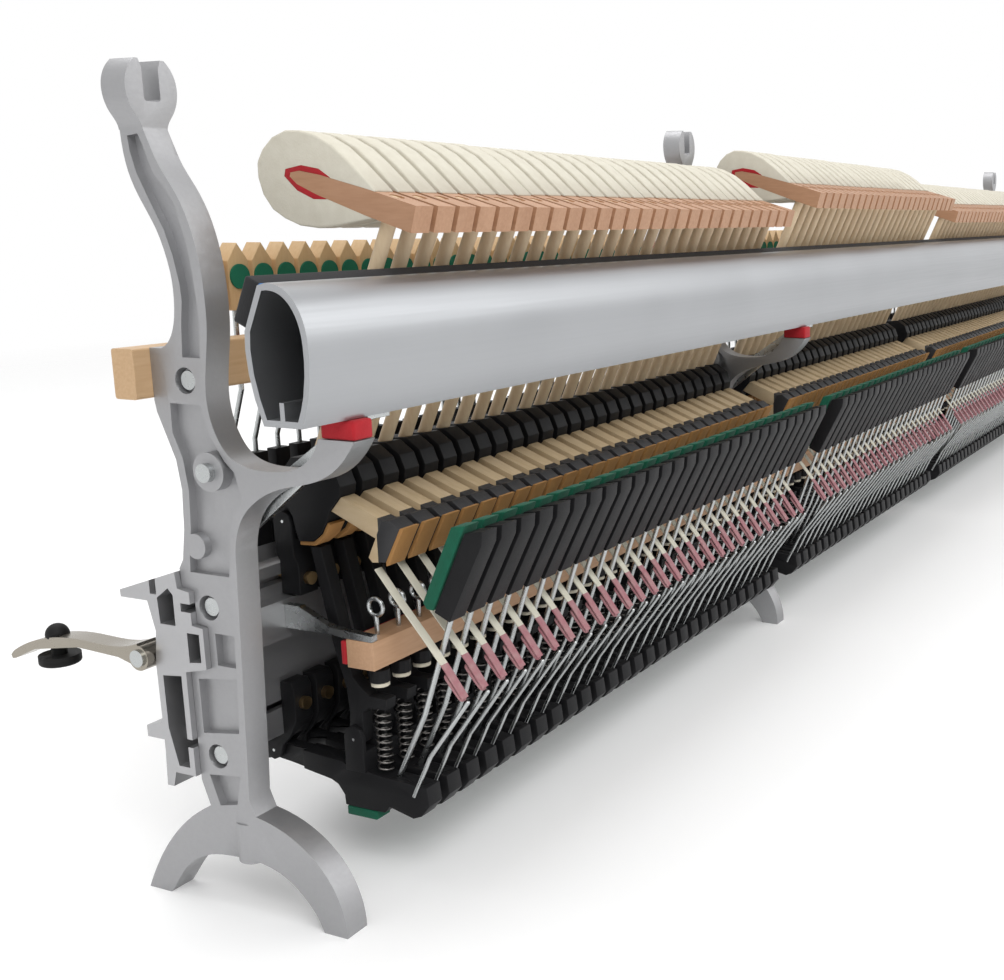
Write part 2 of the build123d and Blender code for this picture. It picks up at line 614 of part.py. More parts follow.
DAMPER_FLANGE = [
    (-2.5, fin_top(-2.5) + SEAT), (17.5, fin_top(17.5) + SEAT), (21.0, 137.0), (25.0, 138.7),
    (28.6, 140.2), (29.9, 143.0), (28.6, 146.2), (25.5, 147.5), (12.0, 146.4),
    (DAMPER_SCREW_Y + 4.0, DAMPER_FLANGE_TOP - 1.0), (DAMPER_SCREW_Y + 3.2, DAMPER_FLANGE_TOP),
    (-2.0, DAMPER_FLANGE_TOP),
]


def flange(points, slot_outline, bores):
    """Wooden flange with a fork slot and bores given as (start, end, radius)."""
    with BuildPart() as body:
        add(plate(points, FLANGE_WIDTH))
        add(plate(slot_outline, FORK_SLOT), mode=Mode.SUBTRACT)
        for start, end, radius in bores:
            add(pin(start, end, radius), mode=Mode.SUBTRACT)
    return body.part


def across(centre, radius, width=FLANGE_WIDTH):
    """Bore or pin along X through a (Y, Z) centre."""
    return ((-width / 2, *centre), (width / 2, *centre), radius)


butt_screw = ((0, BUTT_FLANGE_FRONT - 1.0, BUTT_SCREW_Z), (0, UPPER_FACE + 1.0, BUTT_SCREW_Z))
wippen_screw = (
    (0, WIPPEN_FLANGE_FRONT - 1.0, WIPPEN_SCREW_Z), (0, LOWER_FACE + 1.0, WIPPEN_SCREW_Z),
)
damper_screw = (
    (0, DAMPER_SCREW_Y, DAMPER_FLANGE_TOP + 1.0), (0, DAMPER_SCREW_Y, DAMPER_GROOVE_FLOOR),
)
butt_flange = flange(
    BUTT_FLANGE, [(-30.0, 143.6), (-8.0, 143.6), (-8.0, 160.0), (-30.0, 160.0)],
    (across(BUTT_CENTRE, PIN_RADIUS), (*butt_screw, SCREW_RADIUS + RUN)),
)
wippen_flange = flange(
    WIPPEN_FLANGE, [(-20.0, 40.0), (4.0, 40.0), (4.0, 55.0), (-20.0, 56.0)],
    (across(WIPPEN_CENTRE, PIN_RADIUS), (*wippen_screw, SCREW_RADIUS + RUN)),
)
damper_flange = flange(
    DAMPER_FLANGE, [(19.6, 130.0), (34.0, 130.0), (34.0, 155.0), (19.6, 155.0)],
    (across(DAMPER_CENTRE, PIN_RADIUS), (*damper_screw, SCREW_RADIUS + RUN)),
)
DAMPED = NOTES[:DAMPED_NOTES]
save(row(butt_flange, NOTES), "butt_flanges")
save(row(wippen_flange, NOTES), "wippen_flanges")
save(row(damper_flange, DAMPED), "damper_flanges")



def flange_screw(face, tip):
    """Round-headed screw with its head on a flange face, both given as (X, Y, Z)."""
    outwards = (Vector(*face) - Vector(*tip)).normalized() * SCREW_HEAD_HEIGHT
    head_top = Vector(*face) + outwards
    with BuildPart() as body:
        add(pin(face, tuple(head_top), SCREW_HEAD_RADIUS))
        add(pin(face, tip, SCREW_RADIUS))
    return body.part


butt_tip = UPPER_FACE + BUTT_GROOVE_DEPTH - RUN
wippen_tip = LOWER_FACE + WIPPEN_GROOVE_DEPTH - RUN
damper_tip = DAMPER_GROOVE_FLOOR + RUN
face_screw_pair = group(
    flange_screw((0, BUTT_FLANGE_FRONT, BUTT_SCREW_Z), (0, butt_tip, BUTT_SCREW_Z)).solids()
    + flange_screw((0, WIPPEN_FLANGE_FRONT, WIPPEN_SCREW_Z), (0, wippen_tip, WIPPEN_SCREW_Z)).solids()
)
top_screw = flange_screw((0, DAMPER_SCREW_Y, DAMPER_FLANGE_TOP), (0, DAMPER_SCREW_Y, damper_tip))
screws = row(face_screw_pair, NOTES).solids() + row(top_screw, DAMPED).solids()
save(group(screws), "flange_screws")

with BuildPart() as face_pins:
    add(pin(*across(BUTT_CENTRE, PIN_RADIUS)))
    add(pin(*across(WIPPEN_CENTRE, PIN_RADIUS)))
with BuildPart() as top_pin:
    add(pin(*across(DAMPER_CENTRE, PIN_RADIUS)))
pins = row(face_pins.part, NOTES).solids() + row(top_pin.part, DAMPED).solids()
save(group(pins), "centre_pins")

# Bracket screws, the shoulder screws of the hammer rail arms, and the horn felts

ARM_OFFSET = 8.4
ARM_THICKNESS = 2.4
ARM_SPOTS = (BRACKETS[0] + ARM_OFFSET, BRACKETS[1] + ARM_OFFSET, BRACKETS[2] + ARM_OFFSET)
shoulder_end = ARM_OFFSET + ARM_THICKNESS / 2 + RUN
with BuildPart() as shoulder_screw:
    add(pin((0.3, *BUTT_CENTRE), (shoulder_end, *BUTT_CENTRE), SIDE_SCREW_RADIUS))
    head_end = shoulder_end + SIDE_SCREW_HEAD_HEIGHT
    add(pin((shoulder_end, *BUTT_CENTRE), (head_end, *BUTT_CENTRE), SIDE_SCREW_HEAD_RADIUS))
side_set = row(side_screws(), BRACKETS).solids() + row(shoulder_screw.part, BRACKETS).solids()
save(group(side_set), "bracket_screws")

HORN_FELT = [(-98.0, 197.0), (-83.0, 197.0), (-83.0, 204.2), (-98.0, 204.2)]
save(row(plate(HORN_FELT, 10.0), BRACKETS), "horn_felts")

# Hammer rail

felt_front_low = along_shank(RAIL_FELT_START, SHANK_RADIUS + SOFT)
felt_front_high = along_shank(RAIL_FELT_END, SHANK_RADIUS + SOFT)
felt_back_low = along_shank(RAIL_FELT_START, SHANK_RADIUS + SOFT + RAIL_FELT_THICKNESS)
felt_back_high = along_shank(RAIL_FELT_END, SHANK_RADIUS + SOFT + RAIL_FELT_THICKNESS)
rail_side = SHANK_RADIUS + SOFT + RAIL_FELT_THICKNESS + SEAT
HAMMER_RAIL_FRONT = [
    (-84.3, 253.0), (-93.0, 250.3), (-99.3, 241.3), (-100.9, 229.0), (-99.3, 214.9),
    (-95.7, 204.5),
]
HAMMER_RAIL_BACK = [
    (-79.1, 204.5), (-76.0, 213.6), (-74.2, 222.0), (-73.4, 230.4),
    along_shank(RAIL_FELT_START, rail_side), along_shank(RAIL_FELT_END, rail_side),
]
CHANNEL_FRONT = [
    (-84.6, 250.6), (-92.0, 248.0), (-97.1, 240.3), (-98.7, 229.0), (-97.2, 215.4),
    (-94.2, 206.8),
]
CHANNEL_BACK = [
    (-88.6, 206.8), (-88.6, 213.0), (-86.6, 213.0), (-86.6, 206.8), (-80.6, 206.8),
    (-78.2, 214.2), (-76.4, 222.3), (-75.7, 230.4), (-76.2, 236.6), (-82.6, 250.4),
]
hammer_rail_start = -HAMMER_RAIL_OVERHANG
hammer_rail_length = BRACKETS[2] + 2 * HAMMER_RAIL_OVERHANG
hammer_rail_middle = hammer_rail_start + hammer_rail_length / 2
with BuildPart() as hammer_rail:
    outside = [(Spline, HAMMER_RAIL_FRONT), (Polyline, HAMMER_RAIL_BACK)]
    channel = [(Spline, CHANNEL_FRONT), (Polyline, CHANNEL_BACK)]
    add(contour(outside, hammer_rail_length, hammer_rail_middle))
    add(contour(channel, hammer_rail_length, hammer_rail_middle), mode=Mode.SUBTRACT)
save(hammer_rail.part, "hammer_rail")

RAIL_FELT = [felt_front_low, felt_front_high, felt_back_high, felt_back_low]
save(plate(RAIL_FELT, hammer_rail_length - 4.0, hammer_rail_middle), "hammer_rail_felt")

ARM = [
    (-94.0, 204.4), (-80.0, 204.4), (-79.0, 199.0), (-19.5, 157.5), (-14.0, 155.0), (-11.5, 151.0),
    (-14.0, 146.8), (-19.0, 145.0), (-24.0, 147.0), (-84.0, 194.0), (-94.0, 202.6),
]
ARM_FOOT = [(-94.0, 204.4), (-80.0, 204.4), (-80.0, 202.6), (-94.0, 202.6)]
ARM_FOOT_WIDTH = 12.0
with BuildPart() as hammer_rail_arm:
    add(plate(ARM, ARM_THICKNESS))
    add(plate(ARM_FOOT, ARM_FOOT_WIDTH, (ARM_FOOT_WIDTH - ARM_THICKNESS) / 2))
    eye = ((-ARM_THICKNESS, *BUTT_CENTRE), (ARM_THICKNESS, *BUTT_CENTRE))
    add(pin(*eye, SIDE_SCREW_RADIUS + RUN), mode=Mode.SUBTRACT)
save(row(hammer_rail_arm.part, ARM_SPOTS), "hammer_rail_arms")

# Hammers


def head_reach(index):
    """Extra length of shank at a note: tenor hammers stand higher for the crossed strings."""
    if index < BASS_NOTES:
        return 0.0
    if index < BASS_NOTES + TENOR_NOTES:
        return TENOR_REACH
    return TREBLE_REACH


def felt_scale(index):
    """Size of a note's felt against the first one's."""
    last = (len(NOTES) - 1) // NOTES_PER_SIZE
    return 1.0 - (1.0 - SMALLEST_FELT) * (index // NOTES_PER_SIZE / last) ** 0.9


def head_points(index, points):
    """(Y, Z) of points given along and across the head's own axis, from its tail."""
    foot = along_shank(SHANK_TO_HEAD + head_reach(index))
    nose = (cos(radians(HEAD_TILT)), sin(radians(HEAD_TILT)))
    moved = []
    for a, b in points:
        y = foot[0] + nose[0] * (a - HEAD_TO_SHANK) - nose[1] * b
        z = foot[1] + nose[1] * (a - HEAD_TO_SHANK) + nose[0] * b
        moved.append((y, z))
    return moved


def mirrored(points):
    """Closed outline from its upper half, tail to nose."""
    return points + [(a, -b) for a, b in reversed(points) if b > 0]


def moulding_half(k):
    """Upper half of the wooden moulding for a felt of scale k."""
    nose = HEAD_NOSE - FELT_DEPTH * k
    return [(0.0, 5.2), (22.0, 4.9), (nose - 14.0, 3.8), (nose - 4.0, 2.6), (nose, 0.8)]


def underfelt_half(k):
    """Upper half of the underfelt's outside."""
    nose = HEAD_NOSE - FELT_DEPTH * k
    reach = nose + UNDERFELT_DEPTH
    return [(nose - 19.0, 4.25), (nose - 13.0, 5.9), (nose - 4.5, 4.9), (reach, 1.4)]


def felt_half(k):
    """Upper half of the top felt's outside."""
    tail = HEAD_NOSE - 57.4 * (0.6 + 0.4 * k)
    tip = HEAD_NOSE - 42.9 * (0.6 + 0.4 * k)
    wide = HEAD_NOSE - 24.9 * (0.35 + 0.65 * k)
    return [
        (tail, 5.45), (tip, 6.0 + 6.6 * k), ((tip + wide) / 2, 6.6 + 9.6 * k), (wide, 6.3 + 11.5 * k),
        (HEAD_NOSE - 17.5 * k, 6.0 + 11.3 * k), (HEAD_NOSE - 10.9 * k, 5.2 + 10.4 * k),
        (HEAD_NOSE - 5.2 * k, 3.6 + 7.8 * k), (HEAD_NOSE - 1.4 * k, 1.9 + 3.7 * k), (HEAD_NOSE, 0.6),
    ]


def half_at(points, a):
    """Half height of an outline at a, by straight lines between its points."""
    for (a0, b0), (a1, b1) in zip(points, points[1:]):
        if a0 <= a <= a1:
            return b0 + (b1 - b0) * (a - a0) / (a1 - a0)
    return points[-1][1]


def opened(outline, start, end):
    """The outline's stretch from start to end, with the felt gap added to its half height."""
    stretch = [(start, half_at(outline, start))]
    stretch += [(a, b) for a, b in outline if start < a < end]
    stretch.append((end, half_at(outline, end)))
    return [(a, b + FELT_GAP) for a, b in stretch]


def head(index):
    """Moulding, underfelt and top felt of one note, at X = 0."""
    k = felt_scale(index)
    moulding, under, top = moulding_half(k), underfelt_half(k), felt_half(k)
    wood_end, under_start, under_end = moulding[-1][0], under[0][0], under[-1][0]
    under_hollow = opened(moulding, under_start - 1.0, wood_end)
    under_hollow.append((wood_end + FELT_GAP, moulding[-1][1] + FELT_GAP))
    top_hollow = opened(moulding, top[0][0] - 1.0, under_start - FELT_GAP)
    top_hollow += opened(under, under_start, under_end)
    top_hollow.append((under_end + FELT_GAP, under[-1][1] + FELT_GAP))
    start = along_shank(SHANK_TO_HEAD + head_reach(index) - 14.0)
    end = along_shank(SHANK_TO_HEAD + head_reach(index) + 14.0)
    width = HEAD_THICKNESS - NARROWING * (1.0 - k)
    with BuildPart() as wood:
        add(plate(head_points(index, mirrored(moulding)), width))
        add(pin((0, *start), (0, *end), SHANK_RADIUS + PRESS), mode=Mode.SUBTRACT)
    with BuildPart() as inner:
        add(plate(head_points(index, mirrored(under)), width))
        add(plate(head_points(index, mirrored(under_hollow)), width + 1.0), mode=Mode.SUBTRACT)
    with BuildPart() as outer:
        add(plate(head_points(index, mirrored(top)), width))
        add(plate(head_points(index, mirrored(top_hollow)), width + 1.0), mode=Mode.SUBTRACT)
    return wood.part, inner.part, outer.part


def shank(index):
    """Round shank from inside the butt to the top of the moulding."""
    start = along_shank(-SHANK_SOCKET)
    end = along_shank(SHANK_TO_HEAD + head_reach(index) + SHANK_PAST_AXIS)
    return pin((0, *start), (0, *end), SHANK_RADIUS)


BUTT = [
    (-24.9, 178.4), (-40.0, 179.2), (-47.0, 174.4), (-49.6, 168.0), (-48.8, 163.9), (-43.2, 157.6),
    (-41.2, 152.6), (-38.2, 147.6), (-33.4, 143.9), (-26.0, 143.4), (-24.6, 148.5), (-23.6, 153.4),
    (-21.2, 157.4), (-16.0, 158.2), (-12.9, 158.8), (-13.8, 165.0),
]
BUTT_TONGUE = [
    (-24.7, 150.0), (-23.0, 146.6), (-19.5, 144.9), (-15.5, 145.2), (-12.6, 148.0), (-11.8, 152.0),
    (-12.9, 158.9), (-20.0, 160.0), (-26.0, 158.0),
]
BUTT_LEATHER = [
    (-26.2, 143.2), (-33.5, 143.7), (-38.4, 147.4), (-41.4, 152.4), (-42.8, 151.7), (-39.6, 146.3),
    (-34.0, 142.1), (-26.2, 141.7),
]
CATCHER_NECK = [(-43.4, 157.4), (-49.0, 163.7), (-70.0, 155.4), (-66.6, 147.4)]
CATCHER_HEAD = [
    (-66.0, 148.5), (-61.9, 140.2), (-63.7, 138.2), (-70.3, 138.9), (-78.0, 153.0), (-73.1, 156.4),
    (-69.2, 155.6),
]
CATCHER_LEATHER = [(-70.5, 137.3), (-71.8, 137.8), (-80.2, 153.6), (-78.4, 153.6), (-70.6, 139.2)]

with BuildPart() as butt:
    add(plate(BUTT, BUTT_WIDTH))
    add(plate(BUTT_TONGUE, TONGUE_WIDTH))
    socket = along_shank(-SHANK_SOCKET - RUN)
    add(pin((0, *socket), (0, *along_shank(6.0)), SHANK_RADIUS + PRESS), mode=Mode.SUBTRACT)
    add(pin(*across(BUTT_CENTRE, PIN_RADIUS + RUN)), mode=Mode.SUBTRACT)
with BuildPart() as catcher:
    add(plate(CATCHER_NECK, CATCHER_NECK_WIDTH))
    add(plate(CATCHER_HEAD, CATCHER_WIDTH))
catcher_leather = plate(CATCHER_LEATHER, CATCHER_WIDTH)
butt_leather = plate(BUTT_LEATHER, BUTT_WIDTH - 1.0)
leathers = group(catcher_leather.solids() + butt_leather.solids())

sizes = {}
for index in range(len(NOTES)):
    key = (felt_scale(index), head_reach(index))
    if key not in sizes:
        sizes[key] = head(index)
heads = [sizes[felt_scale(index), head_reach(index)] for index in range(len(NOTES))]
for place, name in enumerate(("hammer_moulding", "hammer_underfelt", "hammer_felt")):
    save(row(heads[0][place], NOTES[:1]), f"{name}_1")
    rest = []
    for x, pieces in zip(NOTES[1:], heads[1:]):
        rest += row(pieces[place], (x,)).solids()
    save(group(rest), f"{name}s")
save(row(shank(0), NOTES[:1]), "hammer_shank_1")
rest = []
for index, x in enumerate(NOTES[1:], start=1):
    rest += row(shank(index), (x,)).solids()
save(group(rest), "hammer_shanks")

# Wippens, jacks and backchecks

WIPPEN = [
    (-18.6, 50.0), (-39.6, 48.5), (-42.4, 46.9), (-63.0, 44.9), (-83.4, 43.8), (-84.4, 36.0),
    (-80.0, 30.7), (-75.8, 29.0), (-69.7, 30.5), (-63.6, 32.0), (-61.1, 28.9), (-40.4, 28.9),
    (-40.0, 33.4), (-37.0, 37.5), (-33.4, 39.2), (-22.6, 40.9), (-18.6, 41.5),
]
WIPPEN_TONGUE = [
    (-20.0, 50.0), (-7.0, 51.2), (-3.0, 51.9), (0.0, 50.8), (1.6, 46.6), (14.0, 46.2), (20.4, 45.7),
    (20.4, 40.4), (12.0, 39.8), (0.0, 42.6), (-3.0, 43.2), (-10.0, 42.4), (-20.0, 41.3),
]
JACK_POST = [
    (-42.6, 45.5), (-42.6, 61.0), (-44.2, 64.4), (-47.5, 65.8), (-50.8, 64.4), (-52.6, 61.0),
    (-52.6, 45.5),
]
JACK_FORK = [(-60.0, 54.6), (-30.0, 54.6), (-30.0, 70.0), (-60.0, 70.0)]
JACK = [
    (-30.2, 141.2), (-38.1, 102.0), (-44.0, 81.0), (-44.9, 70.0), (-43.9, 61.5), (-44.6, 57.6),
    (-47.5, 56.2), (-50.4, 57.7), (-51.2, 61.5), (-51.6, 71.5), (-55.0, 74.0), (-64.0, 74.4),
    (-64.6, 79.2), (-55.5, 79.5), (-50.5, 83.5), (-47.4, 87.0), (-45.6, 96.5), (-35.5, 141.2),
]
HEEL_FELT = [(-41.0, 28.6), (-56.6, 28.6), (-56.6, 24.6), (-41.0, 24.6)]
BACKCHECK = [(-93.0, 120.9), (-100.1, 117.6), (-117.0, 150.5), (-117.6, 156.0), (-109.4, 154.6)]
BACKCHECK_FELT = [(-92.4, 121.4), (-109.5, 157.5), (-103.0, 156.5), (-87.5, 124.3), (-89.2, 121.6)]
CHECK_WIRE = ((0, -63.6, 39.2), (0, -81.4, 74.2), (0, -99.6, 124.0))
BRIDLE_WIRE = ((BRIDLE_SIDE, -76.6, 39.0), (BRIDLE_SIDE, -86.0, 58.0), (BRIDLE_SIDE, -106.0, 84.6))
SPOON = ((0, SPOON_Y, 41.5), (0, SPOON_Y, SPOON_TOP))
STRAP = [
    (-105.2, 86.6), (-97.6, 97.2), (-87.5, 109.6), (-76.0, 123.0), (-65.6, 136.0), (-65.1, 135.6),
    (-75.5, 122.6), (-87.0, 109.2), (-97.1, 96.8), (-104.7, 86.2),
]

with BuildPart() as wippen:
    add(plate(WIPPEN, WIPPEN_WIDTH))
    add(plate(WIPPEN_TONGUE, TONGUE_WIDTH))
    add(plate(JACK_POST, FLANGE_WIDTH))
    add(plate(JACK_FORK, JACK_SLOT), mode=Mode.SUBTRACT)
    add(pin(*across(JACK_CENTRE, PIN_RADIUS)), mode=Mode.SUBTRACT)
    add(pin(*across(WIPPEN_CENTRE, PIN_RADIUS + RUN)), mode=Mode.SUBTRACT)
    for path, radius in (
        (CHECK_WIRE, BACKCHECK_WIRE_RADIUS), (BRIDLE_WIRE, BRIDLE_WIRE_RADIUS), (SPOON, SPOON_RADIUS),
    ):
        add(pin(path[0], path[1], radius + PRESS), mode=Mode.SUBTRACT)
with BuildPart() as bridle_wire:
    add(wire(BRIDLE_WIRE, BRIDLE_WIRE_RADIUS))
    with Locations(BRIDLE_WIRE[-1]):
        Sphere(BRIDLE_WIRE_RADIUS)
wippen_wires = group(
    wire(CHECK_WIRE, BACKCHECK_WIRE_RADIUS).solids() + bridle_wire.part.solids()
    + pin(*SPOON, SPOON_RADIUS).solids() + pin(*across(JACK_CENTRE, PIN_RADIUS)).solids()
)
with BuildPart() as backcheck:
    add(plate(BACKCHECK, BACKCHECK_WIDTH))
    add(pin(CHECK_WIRE[1], CHECK_WIRE[2], BACKCHECK_WIRE_RADIUS + PRESS), mode=Mode.SUBTRACT)
wippen_felts = group(
    plate(HEEL_FELT, WIPPEN_WIDTH).solids() + plate(BACKCHECK_FELT, BACKCHECK_WIDTH).solids()
)
with BuildPart() as jack:
    add(plate(JACK, JACK_WIDTH))
    add(pin(*across(JACK_CENTRE, PIN_RADIUS + RUN)), mode=Mode.SUBTRACT)


def coil():
    """Jack spring wound round a vertical axis."""
    height = SPRING_TOP - SPRING_FLOOR - 2 * SPRING_WIRE
    with BuildPart() as body:
        with BuildLine(Plane.XY.offset(SPRING_FLOOR + SPRING_WIRE)) as axis:
            Helix(height / SPRING_TURNS, height, SPRING_RADIUS, center=(0, SPRING_Y, 0))
        with BuildSketch(Plane(origin=axis.line @ 0, z_dir=axis.line % 0)):
            Circle(SPRING_WIRE)
        sweep(is_frenet=True)
    return body.part


def sleeve():
    """The same spring as the plain tube that it fills."""
    with BuildPart() as body:
        with Locations((0, SPRING_Y, SPRING_FLOOR)):
            Cylinder(
                SPRING_RADIUS + SPRING_WIRE, SPRING_TOP - SPRING_FLOOR,
                align=(Align.CENTER, Align.CENTER, Align.MIN),
            )
            Cylinder(
                SPRING_RADIUS - SPRING_WIRE, SPRING_TOP - SPRING_FLOOR,
                align=(Align.CENTER, Align.CENTER, Align.MIN), mode=Mode.SUBTRACT,
            )
    return body.part


strap = plate(STRAP, STRAP_WIDTH, BRIDLE_SIDE)
for piece, first, others in (
    (butt.part, "hammer_butt_1", "hammer_butts"), (catcher.part, "catcher_1", "catchers"),
    (leathers, "hammer_leathers_1", "hammer_leathers"), (wippen.part, "wippen_1", "wippens"),
    (wippen_wires, "wippen_wires_1", "wippen_wires"), (wippen_felts, "wippen_felts_1", "wippen_felts"),
    (backcheck.part, "backcheck_1", "backchecks"), (jack.part, "jack_1", "jacks"),
    (strap, "bridle_strap_1", "bridle_straps"),
):
    save(row(piece, NOTES[:1]), first)
    save(row(piece, NOTES[1:]), others)
save(row(coil(), NOTES[:1]), "jack_spring_1")
save(row(sleeve(), NOTES[1:]), "jack_springs")

# Dampers

LEVER_BOTTOM = 68.0
LEVER_TOP = 172.0
LEVER_FORK_BOTTOM = 133.5
LEVER_FORK_TOP = 152.5
lever_y = (LEVER_PLAYER_FACE + LEVER_STRING_FACE) / 2
DAMPER_WIRE = (
    (0, lever_y, 158.0), (0, lever_y, 178.0), (0, DAMPER_WIRE_Y, 202.0), (0, DAMPER_WIRE_Y, 246.0),
)


def lever_block(bottom, top, width):
    """Length of the damper lever between two heights."""
    near, far = LEVER_PLAYER_FACE, LEVER_STRING_FACE
    return plate([(near, bottom), (far, bottom), (far, top), (near, top)], width)


with BuildPart() as damper_lever:
    add(lever_block(LEVER_BOTTOM, LEVER_FORK_BOTTOM, LEVER_WIDTH))
    add(lever_block(LEVER_BOTTOM, LEVER_TOP, TONGUE_WIDTH))
    add(lever_block(LEVER_FORK_TOP, LEVER_TOP, LEVER_WIDTH))
    add(pin(*across(DAMPER_CENTRE, PIN_RADIUS + RUN)), mode=Mode.SUBTRACT)
    add(pin(DAMPER_WIRE[0], DAMPER_WIRE[1], DAMPER_WIRE_RADIUS + PRESS), mode=Mode.SUBTRACT)
half_width = DAMPER_BLOCK_WIDTH / 2
with BuildPart() as damper_head:
    with BuildSketch(Plane.XZ.offset(-DAMPER_BLOCK_FACE - DAMPER_BLOCK_THICKNESS)):
        with BuildLine():
            Polyline(
                (-half_width, DAMPER_BLOCK_BOTTOM), (half_width, DAMPER_BLOCK_BOTTOM),
                (half_width, DAMPER_SHOULDER), (0, DAMPER_APEX), (-half_width, DAMPER_SHOULDER),
                close=True,
            )
        make_face()
    extrude(amount=DAMPER_BLOCK_THICKNESS)
    add(pin(DAMPER_WIRE[2], DAMPER_WIRE[3], DAMPER_WIRE_RADIUS + PRESS), mode=Mode.SUBTRACT)
felt_face = DAMPER_BLOCK_FACE + DAMPER_BLOCK_THICKNESS + SEAT
with BuildPart() as damper_pad:
    with Locations((0, felt_face, DAMPER_FELT_BOTTOM)):
        Box(
            DAMPER_FELT_WIDTH, DAMPER_FELT_THICKNESS, DAMPER_FELT_TOP - DAMPER_FELT_BOTTOM,
            align=(Align.CENTER, Align.MIN, Align.MIN),
        )
disc_face = DAMPER_BLOCK_FACE - SEAT
disc = pin((0, disc_face - DISC_THICKNESS, DISC_Z), (0, disc_face, DISC_Z), DISC_RADIUS)
damper_felt = group(damper_pad.part.solids() + disc.solids())
for piece, first, others in (
    (damper_lever.part, "damper_lever_1", "damper_levers"),
    (wire(DAMPER_WIRE, DAMPER_WIRE_RADIUS), "damper_wire_1", "damper_wires"),
    (damper_head.part, "damper_head_1", "damper_heads"),
    (damper_felt, "damper_felt_1", "damper_felts"),
):
    save(row(piece, DAMPED[:1]), first)
    save(row(piece, DAMPED[1:]), others)
coil_gap = (SPRING_TOP - SPRING_FLOOR - 2 * SPRING_WIRE) / SPRING_TURNS - 2 * SPRING_WIRE
print(f"{len(NOTES)} notes, {DAMPED_NOTES} dampers, gap between spring turns {coil_gap:.2f} mm")
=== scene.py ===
"""Dresses the upright piano action: finishes, softened felts, wound springs, light and camera."""

import json
import logging
import math
from dataclasses import dataclass, field
from enum import Enum
from typing import Sequence

import bmesh
import bpy
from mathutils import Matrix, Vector

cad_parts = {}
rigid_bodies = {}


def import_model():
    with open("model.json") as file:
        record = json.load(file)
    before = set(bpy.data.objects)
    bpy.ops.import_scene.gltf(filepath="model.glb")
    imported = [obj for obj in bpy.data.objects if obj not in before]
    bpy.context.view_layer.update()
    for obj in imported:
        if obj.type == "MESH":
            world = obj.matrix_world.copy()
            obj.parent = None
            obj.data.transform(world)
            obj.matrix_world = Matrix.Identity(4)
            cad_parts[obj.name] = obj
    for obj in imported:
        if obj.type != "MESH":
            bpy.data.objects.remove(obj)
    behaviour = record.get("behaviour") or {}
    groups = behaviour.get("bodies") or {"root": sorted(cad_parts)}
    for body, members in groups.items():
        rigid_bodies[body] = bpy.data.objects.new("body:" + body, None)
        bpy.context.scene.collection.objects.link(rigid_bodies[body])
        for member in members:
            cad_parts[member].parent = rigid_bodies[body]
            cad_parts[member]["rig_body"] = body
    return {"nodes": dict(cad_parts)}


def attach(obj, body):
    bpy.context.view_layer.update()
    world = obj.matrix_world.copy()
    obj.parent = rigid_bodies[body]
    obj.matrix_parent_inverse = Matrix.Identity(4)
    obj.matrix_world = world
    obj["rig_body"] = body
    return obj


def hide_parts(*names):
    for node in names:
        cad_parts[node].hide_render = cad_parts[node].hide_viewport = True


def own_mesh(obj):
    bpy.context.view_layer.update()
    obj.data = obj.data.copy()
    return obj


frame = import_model()
LOG = logging.getLogger("piano_action")
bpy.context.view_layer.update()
MM = 0.001
WELD = 0.02 * MM
FLAT_BELOW = 1.0
SMOOTH_BELOW = 40.0
CORNER_ABOVE = 28.0


class Shade:
    """A shader socket that takes part in ordinary arithmetic."""

    def __init__(self, sheet: "Sheet", socket: bpy.types.NodeSocket) -> None:
        """Wraps a socket of a node sheet."""
        self.sheet = sheet
        self.socket = socket

    def _math(self, operation: str, *others: "Shade | float") -> "Shade":
        """A Math node on this socket and the others."""
        return self.sheet.math(operation, self, *others)

    def __add__(self, other: "Shade | float") -> "Shade":
        """Sum."""
        return self._math("ADD", other)

    def __radd__(self, other: float) -> "Shade":
        """Sum with a number on the left."""
        return self._math("ADD", other)

    def __sub__(self, other: "Shade | float") -> "Shade":
        """Difference."""
        return self._math("SUBTRACT", other)

    def __rsub__(self, other: float) -> "Shade":
        """A number less this socket."""
        return self.sheet.math("SUBTRACT", other, self)

    def __mul__(self, other: "Shade | float") -> "Shade":
        """Product."""
        return self._math("MULTIPLY", other)

    def __rmul__(self, other: float) -> "Shade":
        """Product with a number on the left."""
        return self._math("MULTIPLY", other)

    def __truediv__(self, other: "Shade | float") -> "Shade":
        """Quotient."""
        return self._math("DIVIDE", other)

    def above(self, level: float) -> "Shade":
        """One where this socket is over the level, else nought."""
        return self._math("GREATER_THAN", level)

    def below(self, level: float) -> "Shade":
        """One where this socket is under the level, else nought."""
        return self._math("LESS_THAN", level)

    def clamped(self) -> "Shade":
        """This socket held between nought and one."""
        return self._math("MAXIMUM", 0.0)._math("MINIMUM", 1.0)


class Sheet:
    """A shader node tree with one way to make a node."""

    def __init__(self, tree: bpy.types.NodeTree) -> None:
        """Empties a tree and takes it over.

        Args:
            tree: The node tree.
        """
        self.tree = tree
        self.tree.nodes.clear()

    def node(self, kind: str, inputs: dict | None = None, **settings: object) -> bpy.types.Node:
        """Makes a node.

        Args:
            kind: Blender's name for the node type.
            inputs: Values or Shade sockets by input name or number.
            settings: Attributes of the node.

        Returns:
            The new node.
        """
        made = self.tree.nodes.new(kind)
        for key, value in settings.items():
            setattr(made, key, value)
        for key, value in (inputs or {}).items():
            self.feed(made.inputs[key], value)
        return made

    def feed(self, socket: bpy.types.NodeSocket, value: object) -> None:
        """Links or sets one input."""
        if isinstance(value, Shade):
            self.tree.links.new(value.socket, socket)
        else:
            socket.default_value = value

    def math(self, operation: str, *terms: "Shade | float") -> Shade:
        """A Math node on up to three terms."""
        made = self.node("ShaderNodeMath", dict(enumerate(terms)), operation=operation)
        return Shade(self, made.outputs[0])


